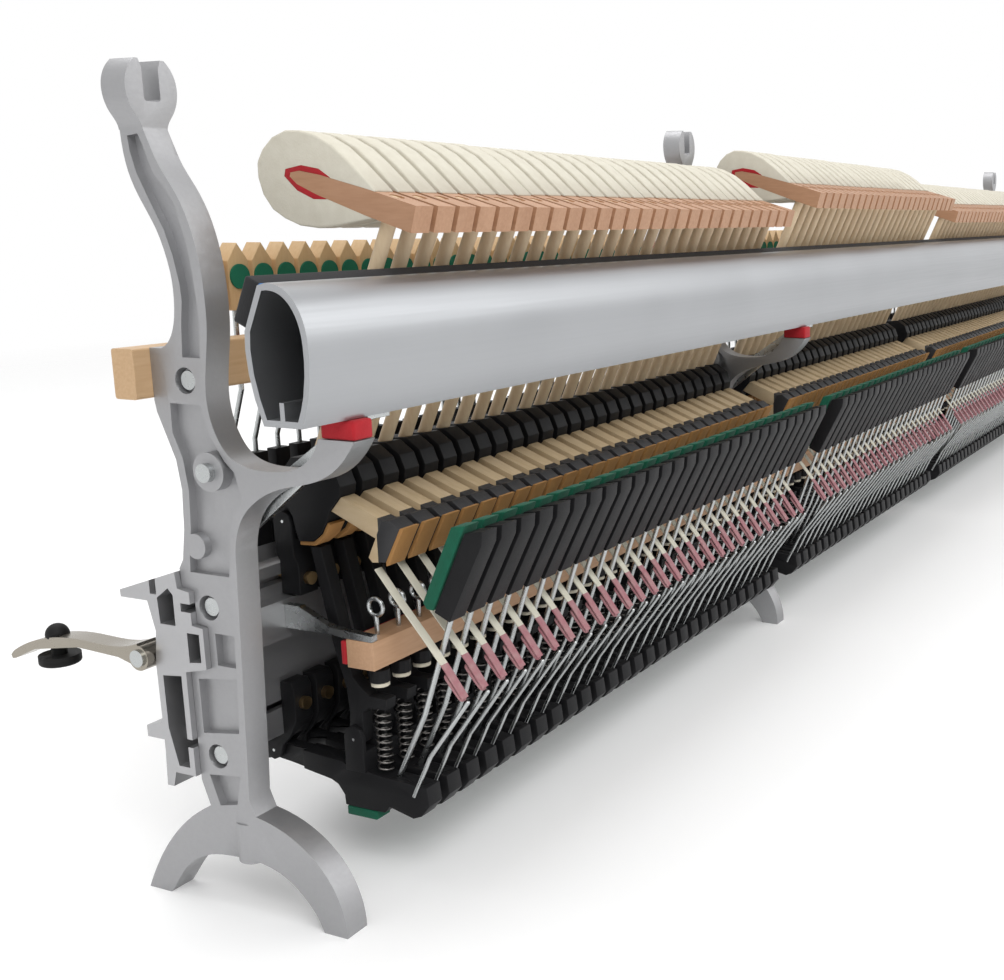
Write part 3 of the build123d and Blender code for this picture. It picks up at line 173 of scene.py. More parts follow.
class NodeSheet(Sheet):
    """A material's node tree."""

    def __init__(self, name: str) -> None:
        """Starts a material with its shader and output.

        Args:
            name: The material's name.
        """
        self.material = bpy.data.materials.new(name)
        self.material.use_nodes = True
        super().__init__(self.material.node_tree)
        self.shader = self.node("ShaderNodeBsdfPrincipled")
        surface = Shade(self, self.shader.outputs["BSDF"])
        self.node("ShaderNodeOutputMaterial", {"Surface": surface})
        self.place = Shade(self, self.node("ShaderNodeTexCoord").outputs["Object"])

    def axis(self, name: str) -> Shade:
        """One coordinate of the place on the object, in metres."""
        split = self.node("ShaderNodeSeparateXYZ", {0: self.place})
        return Shade(self, split.outputs[name])

    def noise(self, scale: float, detail: float = 3.0, stretch: Sequence[float] = (1, 1, 1)) -> Shade:
        """Noise over the object.

        Args:
            scale: Noise scale per metre.
            detail: Levels of detail.
            stretch: Factors on the three coordinates.

        Returns:
            The noise value.
        """
        mapped = self.node("ShaderNodeMapping", {0: self.place, "Scale": tuple(stretch)})
        made = self.node(
            "ShaderNodeTexNoise",
            {"Vector": Shade(self, mapped.outputs[0]), "Scale": scale, "Detail": detail},
        )
        return Shade(self, made.outputs[0])

    def mix(self, amount: Shade, first: object, second: object) -> Shade:
        """Colour between two, by amount."""
        made = self.node("ShaderNodeMix", {0: amount, 6: first, 7: second}, data_type="RGBA")
        return Shade(self, made.outputs[2])

    def finish(self, colour: object, roughness: object, height: Shade | None = None,
               depth: float = 0.0, **fixed: object) -> bpy.types.Material:
        """Connects the shader.

        Args:
            colour: Base colour, a value or a Shade.
            roughness: Roughness, a value or a Shade.
            height: Height for the bump.
            depth: Bump distance in metres.
            fixed: Other shader inputs by name, underscores for spaces.

        Returns:
            The finished material.
        """
        self.feed(self.shader.inputs["Base Color"], colour)
        self.feed(self.shader.inputs["Roughness"], roughness)
        for key, value in fixed.items():
            self.feed(self.shader.inputs[key.replace("_", " ")], value)
        if height is not None:
            bump = self.node("ShaderNodeBump", {"Height": height, "Distance": depth, "Strength": 1.0})
            self.feed(self.shader.inputs["Normal"], Shade(self, bump.outputs[0]))
        return self.material


Colour = tuple[float, float, float, float]


@dataclass(frozen=True)
class Metal:
    """Metal or metallic paint with fine grain and faint blotches."""

    name: str
    colour: Colour
    roughness: float
    grain: float = 900.0
    depth: float = 0.000012
    metallic: float = 1.0
    stretch: tuple[float, float, float] = (1, 1, 1)

    def material(self) -> bpy.types.Material:
        """The metal's material."""
        sheet = NodeSheet(self.name)
        grain = sheet.noise(self.grain, 4.0, self.stretch)
        cloud = sheet.noise(14.0, 2.0)
        dark = tuple(c * 0.82 for c in self.colour[:3]) + (1.0,)
        colour = sheet.mix(cloud, dark, self.colour)
        rough = self.roughness + (grain - 0.5) * 0.22 + (cloud - 0.5) * 0.12
        return sheet.finish(colour, rough.clamped(), grain, self.depth, Metallic=self.metallic)


@dataclass(frozen=True)
class Wood:
    """Pale waxed wood with grain along one axis."""

    name: str
    light: Colour
    dark: Colour
    stretch: tuple[float, float, float] = (60, 60, 6)
    roughness: float = 0.5
    head_beyond: float | None = None

    def material(self) -> bpy.types.Material:
        """The wood's material, black beyond a depth towards the player where that is given."""
        sheet = NodeSheet(self.name)
        grain = sheet.noise(14.0, 4.0, self.stretch)
        fleck = sheet.noise(160.0, 2.0, tuple(s / 20 for s in self.stretch))
        piece = sheet.noise(75.0, 0.0, (1, 0, 0))
        figure = grain * 0.8 + fleck * 0.35 + (piece - 0.5) * 0.9
        colour = sheet.mix(figure.clamped(), self.light, self.dark)
        if self.head_beyond is not None:
            end = sheet.axis("Y").below(self.head_beyond)
            colour = sheet.mix(end, colour, (0.02, 0.02, 0.022, 1.0))
        rough = (self.roughness + (grain - 0.5) * 0.2).clamped()
        return sheet.finish(colour, rough, grain, 0.00006)


@dataclass(frozen=True)
class Composite:
    """Black moulded composite with a satin skin, fine pitting and a little dust."""

    name: str
    colour: Colour = (0.011, 0.011, 0.012, 1.0)
    roughness: float = 0.48

    def material(self) -> bpy.types.Material:
        """The composite's material."""
        sheet = NodeSheet(self.name)
        pits = sheet.noise(1400.0, 3.0)
        flow = sheet.noise(45.0, 3.0)
        dust = ((flow - 0.55) * 3.0).clamped() * 0.25
        colour = sheet.mix(dust, self.colour, (0.035, 0.035, 0.038, 1.0))
        rough = (self.roughness + (pits - 0.5) * 0.2 + (flow - 0.5) * 0.25).clamped()
        return sheet.finish(colour, rough, pits, 0.00002, Specular_IOR_Level=0.14)


@dataclass(frozen=True)
class Felt:
    """Pressed wool felt: fibres, soft blotches and, where asked, coloured layers."""

    name: str
    colour: Colour
    shade: Colour
    depth: float = 0.00018
    layers: tuple[tuple[float, float, Colour], ...] = ()
    across: tuple[float, float, float] = (1.0, 0.0, 0.0)

    def material(self) -> bpy.types.Material:
        """The felt's material.

        A layer is a start, an end and a colour. Its depth is measured in metres as the sum of Y, Z
        and one times the three values of across.
        """
        sheet = NodeSheet(self.name)
        fibre = sheet.noise(1900.0, 5.0, (1, 1, 0.6))
        tuft = sheet.noise(220.0, 3.0)
        colour = sheet.mix((tuft * 0.9 + fibre * 0.3 - 0.1).clamped(), self.shade, self.colour)
        along_y, along_z, datum = self.across
        for start, end, layer in self.layers:
            depth = sheet.axis("Y") * along_y + sheet.axis("Z") * along_z + datum
            colour = sheet.mix(depth.above(start) * depth.below(end), colour, layer)
        height = fibre * 0.6 + tuft * 0.4
        return sheet.finish(colour, 0.95, height, self.depth, Sheen_Weight=0.06)


@dataclass(frozen=True)
class Hide:
    """Brushed leather."""

    name: str
    colour: Colour
    shade: Colour

    def material(self) -> bpy.types.Material:
        """The leather's material."""
        sheet = NodeSheet(self.name)
        nap = sheet.noise(1100.0, 4.0)
        wear = sheet.noise(90.0, 3.0)
        colour = sheet.mix((wear * 0.8 + nap * 0.3).clamped(), self.shade, self.colour)
        return sheet.finish(colour, 0.8, nap, 0.00010)


@dataclass(frozen=True)
class Tape:
    """Woven cotton tape, with a stained end below a height."""

    name: str
    colour: Colour
    tip: Colour
    tip_below: float
    threads: float = 10000.0

    def material(self) -> bpy.types.Material:
        """The tape's material."""
        sheet = NodeSheet(self.name)
        weft = sheet.math("SINE", sheet.axis("Z") * self.threads)
        warp = sheet.math("SINE", sheet.axis("X") * self.threads)
        weave = weft * warp
        cloud = sheet.noise(300.0, 2.0)
        low = sheet.axis("Z").below(self.tip_below)
        colour = sheet.mix(low, self.colour, self.tip)
        colour = sheet.mix((cloud * 0.5).clamped(), colour, (0.55, 0.50, 0.44, 1.0))
        return sheet.finish(colour, 0.9, weave, 0.00005)


class Finish(Enum):
    """The object's finishes."""

    CASTING = Metal("cast_bracket", (0.40, 0.40, 0.41, 1.0), 0.46, 620.0, 0.00006, 0.75)
    RAIL = Metal("rail_aluminium", (0.47, 0.47, 0.48, 1.0), 0.40, 500.0, 0.00002, 0.85, (0.1, 1, 1))
    TUBE = Metal("hammer_rail_satin", (0.42, 0.43, 0.445, 1.0), 0.36, 900.0, 0.000006, 0.9, (0.01, 1, 1))
    STEEL = Metal("wire_steel", (0.52, 0.54, 0.54, 1.0), 0.28, 300.0, 0.000003)
    NICKEL = Metal("nickel_lever", (0.36, 0.33, 0.28, 1.0), 0.26, 300.0, 0.000006)
    BRASS = Metal("brass_screw", (0.55, 0.38, 0.19, 1.0), 0.34, 400.0, 0.000006)
    SPRING = Metal("spring_wire", (0.20, 0.19, 0.18, 1.0), 0.34, 300.0, 0.000003)
    COMPOSITE = Composite("moulded_composite")
    RUBBER = Composite("black_rubber", (0.012, 0.012, 0.012, 1.0), 0.6)
    BEECH = Wood("beech_rail", (0.66, 0.46, 0.27, 1.0), (0.50, 0.31, 0.16, 1.0), (6, 60, 60))
    LETOFF = Wood("letoff_wood", (0.58, 0.36, 0.22, 1.0), (0.42, 0.24, 0.13, 1.0), (6, 60, 60))
    SHANK = Wood("shank_maple", (0.74, 0.60, 0.41, 1.0), (0.60, 0.44, 0.27, 1.0), (60, 60, 6))
    MOULDING = Wood("moulding_wood", (0.52, 0.30, 0.18, 1.0), (0.37, 0.19, 0.10, 1.0), (60, 8, 60))
    CATCHER = Wood(
        "catcher_wood", (0.66, 0.52, 0.34, 1.0), (0.50, 0.37, 0.21, 1.0), (60, 8, 30), 0.5, -0.0668,
    )
    HEAD_BLOCK = Wood("damper_wood", (0.70, 0.50, 0.28, 1.0), (0.54, 0.35, 0.17, 1.0), (60, 60, 8))
    HAMMER_FELT = Felt("hammer_felt", (0.72, 0.69, 0.59, 1.0), (0.60, 0.56, 0.46, 1.0))
    RED_FELT = Felt("red_wool_felt", (0.46, 0.012, 0.02, 1.0), (0.33, 0.007, 0.013, 1.0))
    GREEN_FELT = Felt("green_wool_felt", (0.0, 0.11, 0.06, 1.0), (0.0, 0.07, 0.035, 1.0))
    BLACK_FELT = Felt(
        "black_rail_felt", (0.016, 0.016, 0.018, 1.0), (0.008, 0.008, 0.009, 1.0), 0.00018,
        ((0.0094, 0.02, (0.03, 0.16, 0.42, 1.0)),), (-0.90996, -0.41469, 0.04172),
    )
    CREAM_FELT = Felt("button_felt", (0.74, 0.70, 0.58, 1.0), (0.62, 0.57, 0.45, 1.0))
    DAMPER_FELT = Felt(
        "damper_layers", (0.72, 0.69, 0.60, 1.0), (0.60, 0.56, 0.47, 1.0), 0.00018,
        ((-1.0, 0.0132, (0.0, 0.14, 0.075, 1.0)), (0.0205, 0.0240, (0.55, 0.02, 0.03, 1.0))),
    )
    LEATHER = Hide("catcher_leather", (0.42, 0.22, 0.07, 1.0), (0.30, 0.14, 0.04, 1.0))
    TAPE = Tape("bridle_tape", (0.70, 0.68, 0.56, 1.0), (0.36, 0.10, 0.14, 1.0), 0.0995)

    def material(self) -> bpy.types.Material:
        """The finish's material, made once."""
        found = bpy.data.materials.get(self.value.name)
        return found or self.value.material()


def dress(obj: bpy.types.Object, finish: Finish) -> None:
    """Gives a whole object one finish."""
    obj.data.materials.clear()
    obj.data.materials.append(finish.material())


def joined(node: str) -> bmesh.types.BMesh:
    """A CAD node's mesh with its loose triangles merged into flat faces.

    Args:
        node: The node's name.

    Returns:
        The merged mesh.
    """
    mesh = bmesh.new()
    mesh.from_mesh(frame["nodes"][node].data)
    bmesh.ops.remove_doubles(mesh, verts=mesh.verts, dist=WELD)
    bmesh.ops.dissolve_limit(
        mesh, angle_limit=math.radians(FLAT_BELOW), verts=mesh.verts, edges=mesh.edges
    )
    return mesh


def place(
    mesh: bmesh.types.BMesh, name: str, body: str, finish: Finish, smooth_below: float
) -> bpy.types.Object:
    """Turns a mesh into a finished object that rides a body.

    Args:
        mesh: The mesh, in the row frame.
        name: The object's name.
        body: The CAD body it moves with.
        finish: Its finish.
        smooth_below: Edges flatter than this many degrees are shaded smooth.

    Returns:
        The object.
    """
    data = bpy.data.meshes.new(name)
    bmesh.ops.recalc_face_normals(mesh, faces=mesh.faces)
    mesh.to_mesh(data)
    mesh.free()
    data.shade_smooth()
    data.set_sharp_from_angle(angle=math.radians(smooth_below))
    obj = bpy.data.objects.new(name, data)
    bpy.context.scene.collection.objects.link(obj)
    dress(obj, finish)
    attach(obj, body)
    return obj


def replaced(
    node: str, mesh: bmesh.types.BMesh, finish: Finish, smooth_below: float = SMOOTH_BELOW
) -> bpy.types.Object:
    """Puts a finished mesh in the place of a CAD node.

    Args:
        node: The node it replaces.
        mesh: The mesh, in the row frame.
        finish: Its finish.
        smooth_below: Edges flatter than this many degrees are shaded smooth.

    Returns:
        The new object.
    """
    obj = place(mesh, f"done_{node}", frame["nodes"][node]["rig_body"], finish, smooth_below)
    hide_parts(node)
    LOG.info("%s: %d faces", obj.name, len(obj.data.polygons))
    return obj


def corners(
    mesh: bmesh.types.BMesh, shortest: float, bluntest: float = CORNER_ABOVE, sharpest: float = 180.0
) -> list[bmesh.types.BMEdge]:
    """Edges of a mesh that stand at an angle and are long enough to round.

    Args:
        mesh: The mesh.
        shortest: The shortest edge taken, in metres.
        bluntest: The smallest angle between faces taken, in degrees.
        sharpest: The largest angle between faces taken, in degrees.

    Returns:
        The edges.
    """
    low, high = math.radians(bluntest), math.radians(sharpest)
    found = []
    for edge in mesh.edges:
        between_two = len(edge.link_faces) == 2
        if between_two and low < edge.calc_face_angle(0.0) < high and edge.calc_length() > shortest:
            found.append(edge)
    return found


def rounded(
    mesh: bmesh.types.BMesh, edges: list[bmesh.types.BMEdge], radius: float, steps: int = 2,
    held: bool = False,
) -> None:
    """Rounds chosen edges of a mesh.

    Args:
        mesh: The mesh.
        edges: Its edges to round.
        radius: Their radius in metres.
        steps: Segments round an edge.
        held: Whether the radius shrinks where edges would meet.
    """
    bmesh.ops.bevel(
        mesh, geom=edges, offset=radius, segments=steps, profile=0.6, affect="EDGES",
        clamp_overlap=held,
    )


def softened(node: str, finish: Finish, radius: float, held: bool = False) -> bpy.types.Object:
    """Puts a piece with rounded edges in the place of a CAD node.

    Args:
        node: The node it replaces.
        finish: Its finish.
        radius: The radius of its edges in metres.
        held: Whether the radius shrinks where edges would meet.

    Returns:
        The new object.
    """
    mesh = joined(node)
    rounded(mesh, corners(mesh, 3.0 * radius), radius, held=held)
    return replaced(node, mesh, finish)


class Tree:
    """A geometry node tree with named inputs that ends in one material."""

    def __init__(self, name: str, sizes: dict[str, float]) -> None:
        """Starts the tree.

        Args:
            name: The tree's name.
            sizes: Its named inputs with their values.
        """
        self.group = bpy.data.node_groups.new(name, "GeometryNodeTree")
        face = self.group.interface
        face.new_socket("Geometry", in_out="INPUT", socket_type="NodeSocketGeometry")
        self.sizes = sizes
        self.ids = {}
        for key in sizes:
            made = face.new_socket(key, in_out="INPUT", socket_type="NodeSocketFloat")
            self.ids[key] = made.identifier
        face.new_socket("Geometry", in_out="OUTPUT", socket_type="NodeSocketGeometry")
        self.start = self.node("NodeGroupInput")
        self.end = self.node("NodeGroupOutput")

    def node(self, kind: str, inputs: dict | None = None, **settings: object) -> bpy.types.Node:
        """Makes a node and links or sets its inputs."""
        made = self.group.nodes.new(kind)
        for key, value in settings.items():
            setattr(made, key, value)
        for key, value in (inputs or {}).items():
            if isinstance(value, bpy.types.NodeSocket):
                self.group.links.new(value, made.inputs[key])
            else:
                made.inputs[key].default_value = value
        return made

    def size(self, key: str) -> bpy.types.NodeSocket:
        """The socket of a named input."""
        return self.start.outputs[key]

    def close(self, shape: bpy.types.NodeSocket, finish: Finish) -> None:
        """Realizes the shape, sets its material and ends the tree."""
        real = self.node("GeometryNodeRealizeInstances", {0: shape})
        painted = self.node(
            "GeometryNodeSetMaterial", {0: real.outputs[0], "Material": finish.material()}
        )
        self.group.links.new(painted.outputs[0], self.end.inputs[0])

    def grown(self, points: Sequence[Sequence[float]], name: str, body: str) -> bpy.types.Object:
        """Runs the tree on loose points and keeps the result as a plain mesh.

        Args:
            points: Places in the row frame.
            name: The object's name.
            body: The CAD body that it moves with.

        Returns:
            The finished object.
        """
        seed = bpy.data.meshes.new(name + "_points")
        seed.from_pydata([tuple(p) for p in points], [], [])
        carrier = bpy.data.objects.new(name + "_points", seed)
        bpy.context.scene.collection.objects.link(carrier)
        modifier = carrier.modifiers.new("grow", "NODES")
        modifier.node_group = self.group
        for key, value in self.sizes.items():
            modifier[self.ids[key]] = value
        bpy.context.view_layer.update()
        evaluated = carrier.evaluated_get(bpy.context.evaluated_depsgraph_get())
        data = bpy.data.meshes.new_from_object(evaluated)
        carrier.modifiers.remove(modifier)
        bpy.data.objects.remove(carrier)
        data.shade_smooth()
        obj = bpy.data.objects.new(name, data)
        bpy.context.scene.collection.objects.link(obj)
        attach(obj, body)
        return obj


@dataclass
class Notes:
    """Where the notes stand along the action, in millimetres."""

    pitch: float = 13.35
    first: float = 44.2
    bass: int = 28
    tenor: int = 25
    treble: int = 35
    bracket_break: float = 41.1
    plain_break: float = 38.0

    def places(self) -> list[float]:
        """X of each note's middle, in metres."""
        spots: list[float] = []
        start = self.first
        breaks = (
            (self.bass, self.bracket_break), (self.tenor, self.plain_break), (self.treble, 0.0),
        )
        for count, gap in breaks:
            spots += [start + self.pitch * i for i in range(count)]
            start = spots[-1] + gap
        return [x * MM for x in spots]


@dataclass
class Ironwork:
    """Brackets, rails, rods and their screws."""

    finishes: dict[str, Finish] = field(
        default_factory=lambda: {
            "bracket_bass": Finish.CASTING, "bracket_middle": Finish.CASTING,
            "bracket_treble": Finish.CASTING, "main_rail": Finish.RAIL, "rail_hangers": Finish.STEEL,
            "damper_rod": Finish.STEEL, "damper_rod_lever": Finish.NICKEL,
            "damper_lever_button": Finish.RUBBER, "damper_stop_rail": Finish.BEECH,
            "letoff_rail": Finish.LETOFF, "letoff_screws": Finish.STEEL,
            "letoff_buttons": Finish.COMPOSITE, "flange_screws": Finish.BRASS,
            "bracket_screws": Finish.STEEL, "centre_pins": Finish.STEEL,
            "hammer_rail": Finish.TUBE, "hammer_rail_arms": Finish.STEEL,
            "butt_flanges": Finish.COMPOSITE, "wippen_flanges": Finish.COMPOSITE,
            "damper_flanges": Finish.COMPOSITE,
        }
    )
    castings: tuple[str, ...] = ("bracket_bass", "bracket_middle", "bracket_treble")
    curved: tuple[str, ...] = ("hammer_rail", "damper_rod_lever", "damper_lever_button")
    eased: tuple[str, ...] = (
        "damper_stop_rail", "letoff_rail", "letoff_buttons", "butt_flanges", "wippen_flanges",
        "damper_flanges", "hammer_rail_arms",
    )
    cast_edge: float = 0.9 * MM
    cut_edge: float = 0.3 * MM

    def build(self) -> None:
        """Dresses the metalwork and rounds the edges of castings, flanges and wooden rails."""
        for node, finish in self.finishes.items():
            dress(frame["nodes"][node], finish)
        for node in self.eased:
            softened(node, self.finishes[node], self.cut_edge)
        for node in self.castings:
            mesh = joined(node)
            rounded(mesh, corners(mesh, 0.0, 50.0, 130.0), self.cast_edge, 3, held=True)
            replaced(node, mesh, Finish.CASTING)
        for node in self.curved:
            replaced(node, joined(node), self.finishes[node])


@dataclass
class Softwork:
    """Felts, leathers and tapes with rounded edges."""

    pieces: dict[str, tuple[Finish, float]] = field(
        default_factory=lambda: {
            "hammer_underfelt_1": (Finish.RED_FELT, 0.2 * MM),
            "hammer_underfelts": (Finish.RED_FELT, 0.2 * MM),
            "hammer_rail_felt": (Finish.BLACK_FELT, 0.9 * MM),
            "rail_felts": (Finish.RED_FELT, 0.6 * MM),
            "horn_felts": (Finish.RED_FELT, 1.0 * MM),
            "wippen_felts_1": (Finish.GREEN_FELT, 0.6 * MM),
            "wippen_felts": (Finish.GREEN_FELT, 0.6 * MM),
            "damper_felt_1": (Finish.DAMPER_FELT, 0.5 * MM),
            "damper_felts": (Finish.DAMPER_FELT, 0.5 * MM),
            "letoff_button_felts": (Finish.CREAM_FELT, 0.5 * MM),
            "hammer_leathers_1": (Finish.LEATHER, 0.2 * MM),
            "hammer_leathers": (Finish.LEATHER, 0.2 * MM),
            "bridle_strap_1": (Finish.TAPE, 0.1 * MM),
            "bridle_straps": (Finish.TAPE, 0.1 * MM),
        }
    )

    thin: tuple[str, ...] = ("hammer_underfelt_1", "hammer_underfelts")

    def build(self) -> None:
        """Replaces each soft node by its rounded piece."""
        for node, (finish, radius) in self.pieces.items():
            softened(node, finish, radius, held=node in self.thin)


@dataclass
class Crowns:
    """Hammer felts whose outer edges are pressed round, while the inner ones stay on the wood."""

    notes: "Notes"
    tilt: float = 16.5
    radius: float = 0.9 * MM
    wood: float = 6.3 * MM
    nose: float = 7.0 * MM

    def along(self, point: Vector) -> float:
        """Distance of a point along the heads' own axis."""
        lean = math.radians(self.tilt)
        return point.y * math.cos(lean) + point.z * math.sin(lean)

    def aside(self, point: Vector) -> float:
        """Distance of a point across the heads' own axis."""
        lean = math.radians(self.tilt)
        return point.z * math.cos(lean) - point.y * math.sin(lean)

    def outer_edges(self, mesh: bmesh.types.BMesh) -> list[bmesh.types.BMEdge]:
        """Side edges that lie outside the wood or round the nose."""
        places = self.notes.places()
        heads: dict[int, list[Vector]] = {}
        for vert in mesh.verts:
            note = min(range(len(places)), key=lambda i: abs(places[i] - vert.co.x))
            heads.setdefault(note, []).append(vert.co)
        middles, noses = {}, {}
        for note, points in heads.items():
            asides = [self.aside(p) for p in points]
            middles[note] = (min(asides) + max(asides)) / 2
            noses[note] = max(self.along(p) for p in points)
        chosen = []
        for edge in corners(mesh, 1.2 * self.radius):
            if not any(abs(face.normal.x) > 0.9 for face in edge.link_faces):
                continue
            middle = (edge.verts[0].co + edge.verts[1].co) / 2
            note = min(range(len(places)), key=lambda i: abs(places[i] - middle.x))
            off_wood = abs(self.aside(middle) - middles[note]) > self.wood
            if off_wood or self.along(middle) > noses[note] - self.nose:
                chosen.append(edge)
        return chosen

    def build(self) -> None:
        """Replaces both hammer felt nodes."""
        for node in ("hammer_felt_1", "hammer_felts"):
            mesh = joined(node)
            rounded(mesh, self.outer_edges(mesh), self.radius)
            replaced(node, mesh, Finish.HAMMER_FELT)


@dataclass
class Woodwork:
    """Hammer, wippen and damper parts that are hard."""

    finishes: dict[str, Finish] = field(
        default_factory=lambda: {
            "hammer_moulding": Finish.MOULDING, "hammer_shank": Finish.SHANK,
            "hammer_butt": Finish.COMPOSITE, "catcher": Finish.CATCHER,
            "wippen": Finish.COMPOSITE, "wippen_wires": Finish.STEEL,
            "backcheck": Finish.COMPOSITE, "jack": Finish.COMPOSITE,
            "damper_lever": Finish.COMPOSITE,
            "damper_wire": Finish.STEEL, "damper_head": Finish.HEAD_BLOCK,
        }
    )

    plain: tuple[str, ...] = ("hammer_moulding", "hammer_shank", "wippen_wires", "damper_wire")
    edge: float = 0.25 * MM

    def build(self) -> None:
        """Dresses both the first note's pieces and the grouped ones, and eases their edges."""
        for stem, finish in self.finishes.items():
            plural = stem if stem.endswith("s") else f"{stem}s"
            for node in (f"{stem}_1", plural):
                if stem in self.plain:
                    dress(frame["nodes"][node], finish)
                else:
                    softened(node, finish, self.edge)


@dataclass
class Springs:
    """Jack springs wound from wire, one under each jack's toe."""

    notes: Notes
    y: float = -59.5 * MM
    floor: float = 46.45 * MM
    height: float = 26.7 * MM
    radius: float = 3.0 * MM
    wire: float = 0.45 * MM
    turns: int = 9
    kept: float = 0.88

    def tree(self) -> Tree:
        """The tree that winds a spring at each point."""
        tree = Tree("wind_spring", {"Radius": self.radius, "Height": self.height, "Wire": self.wire})
        coil = tree.node(
            "GeometryNodeCurveSpiral",
            {
                "Resolution": 14, "Rotations": float(self.turns), "Start Radius": tree.size("Radius"),
                "End Radius": tree.size("Radius"), "Height": tree.size("Height"),
            },
        )
        ring = tree.node(
            "GeometryNodeCurvePrimitiveCircle", {"Resolution": 5, "Radius": tree.size("Wire")}
        )
        tube = tree.node(
            "GeometryNodeCurveToMesh", {0: coil.outputs[0], 1: ring.outputs[0], "Fill Caps": True}
        )
        copies = tree.node(
            "GeometryNodeInstanceOnPoints", {0: tree.start.outputs[0], 2: tube.outputs[0]}
        )
        tree.close(copies.outputs[0], Finish.SPRING)
        return tree

    def build(self) -> None:
        """Winds the first note's spring and all the others."""
        spots = [(x, self.y, self.floor) for x in self.notes.places()]
        tree = self.tree()
        for name, points, body, node, joint in (
            ("wound_spring_1", spots[:1], "wippen_1", "jack_spring_1", "jack_1_trip"),
            ("wound_springs", spots[1:], "wippens", "jack_springs", "jacks_trip"),
        ):
            obj = tree.grown(points, name, body)
            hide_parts(node)
            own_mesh(obj)
            LOG.info("%s: %d faces", obj.name, len(obj.data.polygons))


@dataclass
class Tips:
    """Leather tips at the lower ends of the bridle tapes."""

    notes: Notes
    aside: float = -3.8 * MM
    width: float = 4.6 * MM
    start: tuple[float, float] = (-96.0 * MM, 95.4 * MM)
    end: tuple[float, float] = (-104.6 * MM, 84.9 * MM)
    thickness: float = 1.5 * MM

    def build(self) -> None:
        """Makes the tips on the strap bodies."""
        length = math.dist(self.start, self.end)
        tree = Tree("tape_tip", {"Width": self.width, "Length": length, "Thickness": self.thickness})
        sides = {0: tree.size("Width"), 1: tree.size("Thickness"), 2: tree.size("Length")}
        join = tree.node("ShaderNodeCombineXYZ", sides)
        slab = tree.node(
            "GeometryNodeMeshCube",
            {"Size": join.outputs[0], "Vertices X": 3, "Vertices Y": 2, "Vertices Z": 4},
        )
        round_off = tree.node("GeometryNodeSubdivisionSurface", {0: slab.outputs[0], "Level": 1})
        lean = math.atan2(self.start[0] - self.end[0], self.start[1] - self.end[1])
        copies = tree.node(
            "GeometryNodeInstanceOnPoints",
            {0: tree.start.outputs[0], 2: round_off.outputs[0], "Rotation": (-lean, 0.0, 0.0)},
        )
        tree.close(copies.outputs[0], Finish.TAPE)
        middle = [(self.start[i] + self.end[i]) / 2 for i in (0, 1)]
        spots = [(x + self.aside, middle[0], middle[1]) for x in self.notes.places()]
        tree.grown(spots[:1], "tape_tip_1", "strap_1")
        tree.grown(spots[1:], "tape_tips", "straps")


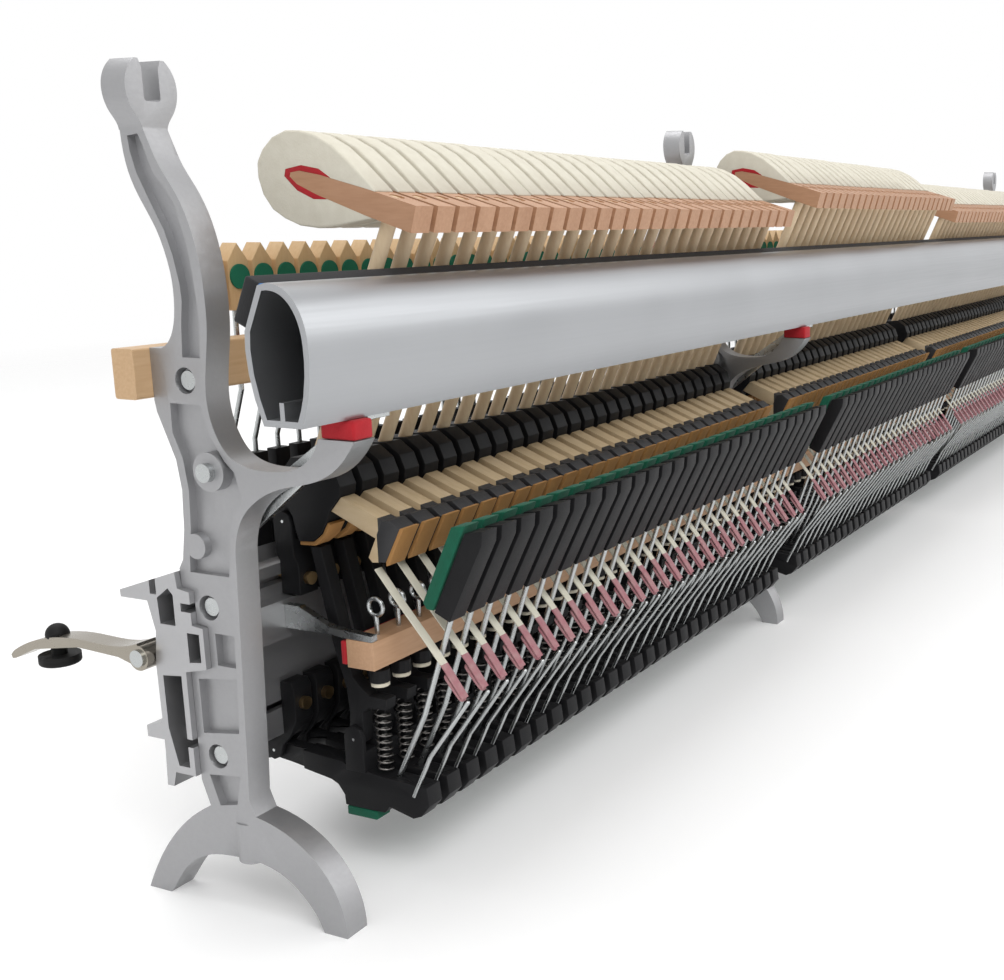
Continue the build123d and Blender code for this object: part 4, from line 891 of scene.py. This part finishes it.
@dataclass
class Studio:
    """Pale floor, soft light and the camera."""

    place: tuple[float, float, float] = (-0.35432, -0.40835, 0.27415)
    look: tuple[float, float, float] = (0.90252, 0.38149, -0.19980)
    lens: float = 45.81
    shift: tuple[float, float] = (-0.2776, -0.0117)
    ambient: float = 0.5
    floor_fade: float = 0.9
    floor_end: float = 2.2

    def floor(self) -> None:
        """A plain pale floor that shows as white."""
        data = bpy.data.meshes.new("floor")
        data.from_pydata([(-30, -30, 0), (30, -30, 0), (30, 30, 0), (-30, 30, 0)], [], [(0, 1, 2, 3)])
        obj = bpy.data.objects.new("floor", data)
        bpy.context.scene.collection.objects.link(obj)
        sheet = NodeSheet("pale_floor")
        along = (sheet.axis("X") - 0.65) * 0.5
        away = sheet.axis("Y")
        distance = sheet.math("SQRT", along * along + away * away)
        opaque = ((self.floor_end - distance) / (self.floor_end - self.floor_fade)).clamped()
        sheet.finish(
            (0.93, 0.93, 0.93, 1.0), 0.9, Specular_IOR_Level=0.0, Alpha=opaque,
            Emission_Color=(1.0, 1.0, 1.0, 1.0), Emission_Strength=0.12,
        )
        obj.data.materials.append(sheet.material)

    def sky(self) -> None:
        """A world that lights softly and is seen and mirrored as plain white."""
        world = bpy.data.worlds.new("studio")
        world.use_nodes = True
        sheet = Sheet(world.node_tree)
        path = sheet.node("ShaderNodeLightPath")
        kinds = ("Camera", "Glossy", "Transmission")
        camera, glossy, clear = (Shade(sheet, path.outputs[f"Is {kind} Ray"]) for kind in kinds)
        seen = sheet.math("MAXIMUM", sheet.math("MAXIMUM", camera, glossy), clear)
        skies = []
        for power in (self.ambient, 1.0):
            made = sheet.node("ShaderNodeBackground", {0: (1.0, 1.0, 1.0, 1.0), 1: power})
            skies.append(Shade(sheet, made.outputs[0]))
        both = sheet.node("ShaderNodeMixShader", {0: seen, 1: skies[0], 2: skies[1]})
        sheet.node("ShaderNodeOutputWorld", {0: Shade(sheet, both.outputs[0])})
        bpy.context.scene.world = world

    def lamp(
        self, name: str, spot: Sequence[float], aim: Sequence[float], size: float, watts: float
    ) -> None:
        """A square soft lamp.

        Args:
            name: Its name.
            spot: Where it hangs.
            aim: What it faces.
            size: Its side in metres.
            watts: Its power.
        """
        light = bpy.data.lights.new(name, "AREA")
        light.size = size
        light.energy = watts
        obj = bpy.data.objects.new(name, light)
        obj.location = spot
        obj.rotation_euler = (Vector(aim) - Vector(spot)).to_track_quat("-Z", "Y").to_euler()
        bpy.context.scene.collection.objects.link(obj)

    def build(self) -> None:
        """Sets floor, lamps, world and camera."""
        self.floor()
        self.sky()
        self.lamp("key", (-1.2, -1.6, 2.2), (0.3, 0, 0.15), 1.6, 36.0)
        self.lamp("fill", (2.2, -2.2, 1.6), (0.6, 0, 0.15), 2.2, 22.0)
        self.lamp("top", (0.5, 0.6, 2.4), (0.5, 0, 0.1), 2.0, 30.0)
        bpy.context.scene.view_settings.view_transform = "Standard"
        lens = bpy.data.cameras.new("camera")
        lens.lens = self.lens
        lens.sensor_width = 36.0
        lens.sensor_fit = "HORIZONTAL"
        lens.shift_x, lens.shift_y = self.shift
        lens.clip_start = 0.01
        camera = bpy.data.objects.new("camera", lens)
        camera.location = self.place
        camera.rotation_euler = Vector(self.look).to_track_quat("-Z", "Y").to_euler()
        bpy.context.scene.collection.objects.link(camera)
        bpy.context.scene.camera = camera


def main() -> None:
    """Builds the looks in order."""
    logging.basicConfig(level=logging.INFO, format="%(name)s %(message)s")
    Studio().build()
    notes = Notes()
    for part in (Ironwork(), Woodwork(), Softwork(), Crowns(notes), Springs(notes), Tips(notes)):
        LOG.info("building %s", type(part).__name__)
        part.build()


if __name__ == "__main__":
    main()
